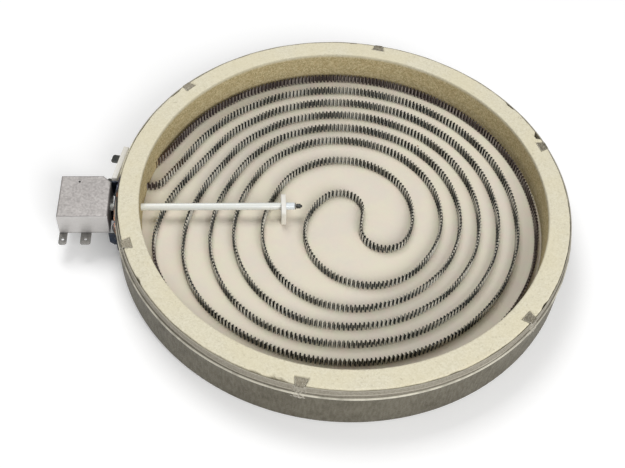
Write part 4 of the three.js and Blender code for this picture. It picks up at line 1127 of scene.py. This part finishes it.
rod_low, rod_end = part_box("expansion_rod")
rod_radius = (rod_end.y - rod_low.y) / 2
rod_length = rod_end.x - rod_low.x
thread_from = collar_low.x - rod_low.x - 2 * mm
thread_pitch = 0.4 * mm
thread = []
turns = int((rod_length - 0.5 * mm - thread_from) / thread_pitch)
for i in range(turns):
    crest_at = thread_from + i * thread_pitch
    thread += [(rod_radius - 0.16 * mm, crest_at), (rod_radius, crest_at + 0.5 * thread_pitch)]
rod_profile = [
    (0, 0), (rod_radius - 0.2 * mm, 0), (rod_radius, 0.2 * mm), (rod_radius, thread_from - 0.2 * mm),
    *thread, (rod_radius - 0.35 * mm, rod_length), (0, rod_length),
]
rod = rod_piece("threaded_rod", rod_profile, rod_low.x, 32)
fitted(rod, "element", "oxidised_steel", oxidised_steel, "expansion_rod")


# ---- The limiter's base, bracket and fasteners ------------------------------------------------------
# A steatite slab with a pillar that takes the tube's end. Two rivets hold it to the bracket's tongue, and
# the bracket's saddle follows the dish's wall, where two screws pull it tight. Heat has blued it.

limiter_base = softened("switch_base", "limiter_base", 0.25 * mm)
fitted(limiter_base, "element", "steatite", steatite, "limiter_base")

blued_steel, tree, shader = new_material("blued_steel", Metallic=0.8, Specular_IOR_Level=0.5)
place, parts = coordinates(tree)
stain = placed(tree, heat_stain, Patch_Size=0.008, Shift=9.1)
sheet = placed(tree, rolled, Streak_Width=0.0010, Draw=5.0)
edge = placed(tree, worn, Reach=0.0002)
blued = tinted(tree, stain["Patches"], (0.030, 0.042, 0.070), (0.024, 0.024, 0.024))
saddle_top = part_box("limiter_bracket")[1].z
copper_z = spread(tree, parts["Z"], saddle_top - 9.0 * mm, saddle_top - 7.0 * mm)
copper_y = spread(tree, parts["Y"], 0.0, -12 * mm)
copper = sum_of(tree, "MULTIPLY", copper_z, copper_y)
copper = sum_of(tree, "MULTIPLY", copper, spread(tree, stain["Mottle"], 0.2, 0.6))
blued = tinted(tree, sum_of(tree, "MULTIPLY", copper, 0.75), blued, (0.380, 0.170, 0.075))
blued = tinted(tree, sum_of(tree, "MULTIPLY", sheet["Scratches"], 0.7), blued, (0.330, 0.325, 0.310))
blued = tinted(tree, sum_of(tree, "MULTIPLY", edge["Wear"], 0.6), blued, (0.420, 0.410, 0.380))
tree.links.new(blued, shader.inputs["Base Color"])
tree.links.new(spread(tree, stain["Mottle"], 0.0, 1.0, 0.25, 0.50), shader.inputs["Roughness"])
bumped(tree, shader, sheet["Streaks"], 0.3, 0.00006)

bracket = softened("saddle_bracket", "limiter_bracket", 0.15 * mm)
fitted(bracket, "element", "oxidised_steel", blued_steel, "limiter_bracket")

set_in_place, given, gives = geometry_tree("fasteners", {
    "Fastener": "NodeSocketObject", "Upright": "NodeSocketBool", "Turn": "NodeSocketFloat",
    "Seed": "NodeSocketInt", "Material": "NodeSocketMaterial",
})
shape = add(set_in_place, "GeometryNodeObjectInfo", {"Object": given["Fastener"]}).outputs["Geometry"]
spot = add(set_in_place, "GeometryNodeInputPosition").outputs[0]
sideways = add(set_in_place, "ShaderNodeVectorMath", {0: spot, 1: (1, 1, 0)}, operation="MULTIPLY").outputs[0]
facing = add(set_in_place, "GeometryNodeSwitch", {
    "Switch": given["Upright"], "False": sideways, "True": (0, 0, 1),
}, input_type="VECTOR").outputs[0]
facing = add(set_in_place, "FunctionNodeAlignRotationToVector", {"Vector": facing}, axis="Z").outputs[0]
chance = add(set_in_place, "FunctionNodeRandomValue", {
    2: 0.0, 3: given["Turn"], "Seed": given["Seed"],
}, data_type="FLOAT").outputs[1]
own_turn = add(set_in_place, "ShaderNodeCombineXYZ", {0: 0.0, 1: 0.0, 2: chance}).outputs[0]
facing = add(set_in_place, "FunctionNodeRotateRotation", {
    0: facing, 1: add(set_in_place, "FunctionNodeEulerToRotation", {0: own_turn}).outputs[0],
}, rotation_space="LOCAL").outputs[0]
copies = add(set_in_place, "GeometryNodeInstanceOnPoints", {
    "Points": given["Geometry"], "Instance": shape, "Rotation": facing,
}).outputs[0]
copies = add(set_in_place, "GeometryNodeRealizeInstances", {"Geometry": copies}).outputs[0]
copies = add(set_in_place, "GeometryNodeSetMaterial", {
    "Geometry": copies, "Material": given["Material"],
}).outputs[0]
set_in_place.links.new(copies, gives["Geometry"])


def rivet_shape(name, shank, head, head_height, length, dome):
    """A rivet along Z from 0 to its length: a flat factory head, a shank and a domed closing head."""
    domed = [
        (head * math.cos(math.pi / 2 * i / 6), length - head_height + dome * math.sin(math.pi / 2 * i / 6))
        for i in range(7)
    ]
    return turned(name, [
        (0, 0), (head - 0.15 * mm, 0), (head, 0.15 * mm), (head, head_height), (shank, head_height),
        (shank, length - head_height), *domed[:-1], (0, length - head_height + dome),
    ], 40)


rivet_low, rivet_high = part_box("base_rivet_1")
rivet_head = (rivet_high.y - rivet_low.y) / 2
base_rivet = rivet_shape("rivet", 1.2 * mm, rivet_head, 0.7 * mm, rivet_high.z - rivet_low.z, 0.7 * mm)
rivet_points = []
for node in ("base_rivet_1", "base_rivet_2"):
    low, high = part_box(node)
    rivet_points.append(((low.x + high.x) / 2, 0, low.z))
base_rivets = wire("base_rivets", rivet_points)
grown(base_rivets, set_in_place, {
    "Fastener": base_rivet, "Upright": True, "Turn": 6.28, "Seed": 5, "Material": terminal_steel,
})
bpy.data.objects.remove(base_rivet)
fitted(base_rivets, "element", "terminal_steel", terminal_steel, "base_rivet_1", "base_rivet_2")

screw_seat = dish_radius + 1.4 * mm  # where the head sits on the saddle
screw_end = dish_radius - dish_sheet - 0.4 * mm
shank_length = screw_seat - screw_end
screw_head, screw_shank = 2.7 * mm, 1.3 * mm
screw_thread = []
for i in range(4):
    screw_thread += [(screw_shank - 0.2 * mm, (0.25 + 0.45 * i) * mm), (screw_shank, (0.45 + 0.45 * i) * mm)]
head_rim, head_dome = 0.5 * mm, 1.1 * mm
pan_turns = [math.pi / 2 * i / 8 for i in range(9)]
pan = [
    (screw_head * math.cos(turn), shank_length + head_rim + head_dome * math.sin(turn)) for turn in pan_turns
]
screw = turned("screw", [
    (0, 0), (screw_shank - 0.5 * mm, 0), *[p for p in screw_thread if p[1] < shank_length - 0.1 * mm],
    (screw_shank, shank_length), (screw_head, shank_length), *pan[:-1], (0, shank_length + 1.6 * mm),
], 48)
slot_low = shank_length + 0.8 * mm
cut_away(screw, [
    block((-1.5 * mm, -0.3 * mm, slot_low), (1.5 * mm, 0.3 * mm, slot_low + 3 * mm)),
    block((-0.3 * mm, -1.5 * mm, slot_low), (0.3 * mm, 1.5 * mm, slot_low + 3 * mm)),
])
screws = wire("bracket_screws", [outwards(a, screw_end, z) for a, z in screw_places])
grown(screws, set_in_place, {
    "Fastener": screw, "Upright": False, "Turn": 1.4, "Seed": 8, "Material": terminal_steel,
})
bpy.data.objects.remove(screw)
fitted(screws, "element", "terminal_steel", terminal_steel, "bracket_screw_1", "bracket_screw_2")


# ---- The limiter's terminals ------------------------------------------------------------------------
# Four plated steel strips under the slab. Each ends in a push-on blade with a locating hole and its nose
# corners taken off, and stands up through the slab to carry a contact or an arm.

for node in (
    "limiter_terminal_fixed", "limiter_terminal_spring", "signal_terminal_fixed", "signal_terminal_spring",
):
    strip_blade = softened(node.replace("terminal", "blade"), node, 0.12 * mm)
    fitted(strip_blade, "element", "terminal_steel", terminal_steel, node)


# ---- The plunger and the switch arms ----------------------------------------------------------------
# The rod's end pushes a small ceramic plunger, which lifts one bronze arm and then the other off its
# fixed contact. Each arm is riveted to its post and carries a silver contact.

spring_bronze, tree, shader = new_material("spring_bronze", Metallic=1.0)
stain = placed(tree, heat_stain, Patch_Size=0.004, Shift=7.7)
bronze = tinted(tree, stain["Patches"], (0.560, 0.350, 0.170), (0.470, 0.270, 0.130))
bronze = tinted(tree, sum_of(tree, "MULTIPLY", stain["Mottle"], 0.4), bronze, (0.330, 0.190, 0.100))
tree.links.new(bronze, shader.inputs["Base Color"])
tree.links.new(spread(tree, stain["Mottle"], 0.0, 1.0, 0.25, 0.42), shader.inputs["Roughness"])
bumped(tree, shader, stain["Mottle"], 0.2, 0.00003)

silver_alloy, tree, shader = new_material("silver_alloy", Metallic=1.0)
stain = placed(tree, heat_stain, Patch_Size=0.002, Shift=1.1)
silver = tinted(tree, stain["Mottle"], (0.760, 0.750, 0.720), (0.560, 0.540, 0.500))
tree.links.new(silver, shader.inputs["Base Color"])
tree.links.new(spread(tree, stain["Patches"], 0.0, 1.0, 0.25, 0.45), shader.inputs["Roughness"])
bumped(tree, shader, stain["Mottle"], 0.3, 0.00003)

plunger = softened("switch_plunger", "plunger", 0.15 * mm)
fitted(plunger, "plunger", "steatite", steatite, "plunger")
for switch in ("limiter", "signal"):
    arm = softened(f"{switch}_arm", f"{switch}_contact_arm", 0.06 * mm)
    fitted(arm, f"{switch}_arm", "spring_bronze", spring_bronze, f"{switch}_contact_arm")
    moving = softened(f"{switch}_moving", f"{switch}_moving_contact", 0.2 * mm)
    fitted(moving, f"{switch}_arm", "silver_alloy", silver_alloy, f"{switch}_moving_contact")
    fixed = softened(f"{switch}_fixed", f"{switch}_fixed_contact", 0.2 * mm)
    fitted(fixed, "element", "silver_alloy", silver_alloy, f"{switch}_fixed_contact")
    arm_rivet = softened(f"{switch}_rivet", f"{switch}_arm_rivet", 0.15 * mm)
    fitted(arm_rivet, "element", "terminal_steel", terminal_steel, f"{switch}_arm_rivet")


# ---- The limiter's cover ----------------------------------------------------------------------------
# A box folded from thin galvanised sheet: rounded folds round its top, open seams where the walls meet,
# an arch cut for the tube and a small pierced vent with its burr left on.

cover_low, cover_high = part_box("limiter_cover")
cover_sheet = 0.6 * mm
cut_corner = 5 * mm
fold_round = 0.9 * mm
wall_round = 0.5 * mm


def cover_plan(inset):
    """The cover from above, drawn in by a distance, with its upright folds rounded."""
    x0, y0, x1, y1 = cover_low.x + inset, cover_low.y + inset, cover_high.x - inset, cover_high.y - inset
    c = cut_corner - inset * (2 - math.sqrt(2))
    corners = [Vector(p) for p in ((x0, y0), (x1, y0), (x1, y1 - c), (x1 - c, y1), (x0, y1))]
    plan = []
    for i, corner in enumerate(corners):
        before = (corners[i - 1] - corner).normalized()
        after = (corners[(i + 1) % 5] - corner).normalized()
        half = before.angle(after) / 2
        radius = max(0.15 * mm, wall_round - inset)
        reach = radius / math.tan(half)
        start, end = corner + before * reach, corner + after * reach
        middle = corner + (before + after).normalized() * radius / math.sin(half)
        for j in range(7):
            way = (start - middle).lerp(end - middle, j / 6).normalized()
            plan.append(middle + way * radius)
    return plan


def fold_levels(sheet_inset, corner, top, bottom):
    """Levels of one face of the sheet, from the cover's open edge up round its top fold."""
    straight = [(sheet_inset, bottom + (top - corner - bottom) * i / 8) for i in range(9)]
    turns = [math.pi / 2 * i / 6 for i in range(1, 7)]
    fold = [
        (sheet_inset + corner * (1 - math.cos(turn)), top - corner * (1 - math.sin(turn))) for turn in turns
    ]
    return [*straight, *fold, (sheet_inset + corner + 0.4 * mm, top)]


def cover_shell():
    """The folded sheet: its outer face up to the top, and its inner face up to the top's underside."""
    mesh = bmesh.new()
    outer_face = fold_levels(0, fold_round, cover_high.z, cover_low.z)
    inner_face = fold_levels(cover_sheet, fold_round - cover_sheet, cover_high.z - cover_sheet, cover_low.z)
    faces = []
    for levels in (outer_face, inner_face):
        rows = [[mesh.verts.new((p.x, p.y, height)) for p in cover_plan(inset)] for inset, height in levels]
        mesh.faces.new(rows[-1])
        faces.append(rows)
    joined = list(reversed(faces[0])) + faces[1]
    for low, high in zip(joined, joined[1:]):
        for j in range(len(low)):
            k = (j + 1) % len(low)
            mesh.faces.new((low[j], low[k], high[k], high[j]))
    return finished_mesh("switch_cover", mesh, 30)


cover = cover_shell()
vent_at = (cover_low.x + 11.4 * mm, cover_high.y - 5 * mm)
seam_half = 0.14 * mm
seam_top = cover_high.z - fold_round - 0.6 * mm
seams = []
for corner in ((cover_low.x, cover_low.y), (cover_high.x, cover_low.y), (cover_low.x, cover_high.y)):
    seam = block((-1.6 * mm, -seam_half, cover_low.z - 1 * mm), (1.6 * mm, seam_half, seam_top))
    inwards = Vector((cover_low.x + cover_high.x, cover_low.y + cover_high.y)) / 2 - Vector(corner)
    lean = math.radians(45 if inwards.x * inwards.y > 0 else 135)
    seam.data.transform(Matrix.Translation((*corner, 0)) @ Matrix.Rotation(lean, 4, "Z"))
    seams.append(seam)
arch_half = tube_radius + 0.6 * mm
cut_away(cover, [
    block(
        (cover_high.x - 2 * mm, -arch_half, cover_low.z - 1 * mm),
        (cover_high.x + 1 * mm, arch_half, rod_height),
    ),
    rod_cutter(arch_half, (cover_high.x - 2.02 * mm, 0, rod_height), (1, 0, 0), 3.04 * mm),
    rod_cutter(0.8 * mm, (*vent_at, cover_high.z - 3 * mm), (0, 0, 1), 4 * mm),
    *seams,
])
cover.data.shade_smooth()
cover.data.set_sharp_from_angle(angle=math.radians(30))

cover_steel, tree, shader = new_material("cover_steel", Metallic=0.55, Specular_IOR_Level=0.5)
place, parts = coordinates(tree)
stain = placed(tree, heat_stain, Patch_Size=0.011, Shift=2.9)
edge = placed(tree, worn, Reach=0.0006)
along_fold = add(tree, "ShaderNodeVectorMath", {0: place, 1: (1, 14, 14)}, operation="MULTIPLY").outputs[0]
brushed = add(tree, "ShaderNodeTexNoise", {"Vector": along_fold, "Scale": 90.0, "Detail": 3.0}).outputs["Fac"]
face_way = add(tree, "ShaderNodeNewGeometry").outputs["Normal"]
face_way = add(tree, "ShaderNodeSeparateXYZ", {0: face_way}).outputs
zinc_and_painted_light = tinted(tree, stain["Patches"], (0.305, 0.286, 0.274), (0.355, 0.335, 0.320))
zinc_and_painted_light = tinted(tree, sum_of(tree, "MULTIPLY", stain["Mottle"], 0.35), zinc_and_painted_light, (0.250, 0.236, 0.228))
# Faces turned to the front are painted lighter: a painted reflection of the front light.
zinc_and_painted_light = tinted(tree, spread(tree, face_way["Y"], -0.3, -0.9, 0.0, 0.75), zinc_and_painted_light, (0.720, 0.700, 0.680))
zinc_and_painted_light = tinted(tree, sum_of(tree, "MULTIPLY", brushed, 0.25), zinc_and_painted_light, (0.430, 0.408, 0.398))
# Darker at the open lower edge: painted shade from under the cover.
lower_edge_shade = spread(tree, parts["Z"], cover_low.z + 1.2 * mm, cover_low.z)
zinc_and_painted_light = tinted(tree, sum_of(tree, "MULTIPLY", lower_edge_shade, 0.7), zinc_and_painted_light, (0.120, 0.115, 0.110))
zinc_and_painted_light = tinted(tree, sum_of(tree, "MULTIPLY", edge["Wear"], 0.35), zinc_and_painted_light, (0.700, 0.690, 0.675))
tree.links.new(zinc_and_painted_light, shader.inputs["Base Color"])
tree.links.new(spread(tree, stain["Mottle"], 0.0, 1.0, 0.42, 0.58), shader.inputs["Roughness"])
bumped(tree, shader, sum_of(tree, "ADD", brushed, stain["Mottle"]), 0.2, 0.00006)
fitted(cover, "element", "cover_steel", cover_steel, "limiter_cover")

# The vent's burr: a ragged lip the punch left, standing highest on one side.
burr_profile = [
    (0.80 * mm, -0.15 * mm), (1.15 * mm, -0.02 * mm), (0.98 * mm, 0.22 * mm), (0.82 * mm, 0.24 * mm),
]


def burr_shape(radius, height, angle):
    """The burr's lip, highest on one side and ragged all round."""
    ragged = 0.5 + 0.5 * math.cos(angle - 3.9) + 0.2 * math.sin(5 * angle) + 0.1 * math.sin(11 * angle + 1)
    if height > 0:
        height *= max(0.1, ragged)
    return radius, height


burr = turned("vent_burr", burr_profile, 48, burr_shape)
burr.data.transform(Matrix.Translation((*vent_at, cover_high.z - 0.30 * mm)))
burr.data.materials.append(terminal_steel)
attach(burr, "element")


# ---- The stage --------------------------------------------------------------------------------------
# A pale floor under the element, one broad soft light above and behind it and a second low in front,
# and the camera, which looks down on it from the front.

floor_data = bpy.data.meshes.new("studio_floor")
floor_reach = 3.0
corners = [(x * floor_reach, y * floor_reach, 0) for x, y in ((-1, -1), (1, -1), (1, 1), (-1, 1))]
floor_data.from_pydata(corners, [], [(0, 1, 2, 3)])
floor = bpy.data.objects.new("studio_floor", floor_data)
bpy.context.scene.collection.objects.link(floor)
floor_paint, tree, shader = new_material("floor_paint", Specular_IOR_Level=0.2, Emission_Strength=0.16)
place, parts = coordinates(tree)
unevenness = add(tree, "ShaderNodeTexNoise", {"Vector": place, "Scale": 14.0, "Detail": 4.0}).outputs["Fac"]
paint = tinted(tree, unevenness, (0.930, 0.930, 0.930), (0.960, 0.960, 0.960))
tree.links.new(paint, shader.inputs["Base Color"])
tree.links.new(paint, shader.inputs["Emission Color"])
tree.links.new(spread(tree, unevenness, 0.0, 1.0, 0.80, 0.95), shader.inputs["Roughness"])
floor_data.materials.append(floor_paint)

for name, spot, power, size, aim in (
    ("overhead_softbox", (-0.24, 0.52, 1.05), 6.5, 0.6, (0, 0, 0)),
    ("front_softbox", (0.42, -1.05, 0.78), 11.0, 0.7, (0, 0, 0.02)),
):
    lamp_data = bpy.data.lights.new(name, "AREA")
    lamp_data.energy = power
    lamp_data.size = size
    lamp = bpy.data.objects.new(name, lamp_data)
    bpy.context.scene.collection.objects.link(lamp)
    to_aim = Vector(aim) - Vector(spot)
    lamp.matrix_world = Matrix.Translation(spot) @ to_aim.to_track_quat("-Z", "Y").to_matrix().to_4x4()

surround = bpy.data.worlds.new("studio")
surround.use_nodes = True
surround.node_tree.nodes["Background"].inputs["Color"].default_value = (1.0, 1.0, 1.0, 1)
surround.node_tree.nodes["Background"].inputs["Strength"].default_value = 0.30
bpy.context.scene.world = surround
bpy.context.scene.view_settings.view_transform = "Standard"

lens_data = bpy.data.cameras.new("camera")
lens_data.lens = 57.43
lens_data.sensor_width = 36
camera = bpy.data.objects.new("camera", lens_data)
bpy.context.scene.collection.objects.link(camera)
aside, raised, tilt = math.radians(-5.5), math.radians(51.60), math.radians(3.95)
back = Vector((math.sin(aside) * math.cos(raised), -math.cos(aside) * math.cos(raised), math.sin(raised)))
right = Vector((0, 0, 1)).cross(back).normalized()
up = back.cross(right)
leant_right = right * math.cos(tilt) + up * math.sin(tilt)
leant_up = up * math.cos(tilt) - right * math.sin(tilt)
looked_at = Vector((-0.02115, -0.03265, element_top))
camera_distance = 0.5858
axes = Matrix((leant_right, leant_up, back)).transposed().to_4x4()
camera.matrix_world = Matrix.Translation(looked_at + back * camera_distance) @ axes
bpy.context.scene.camera = camera
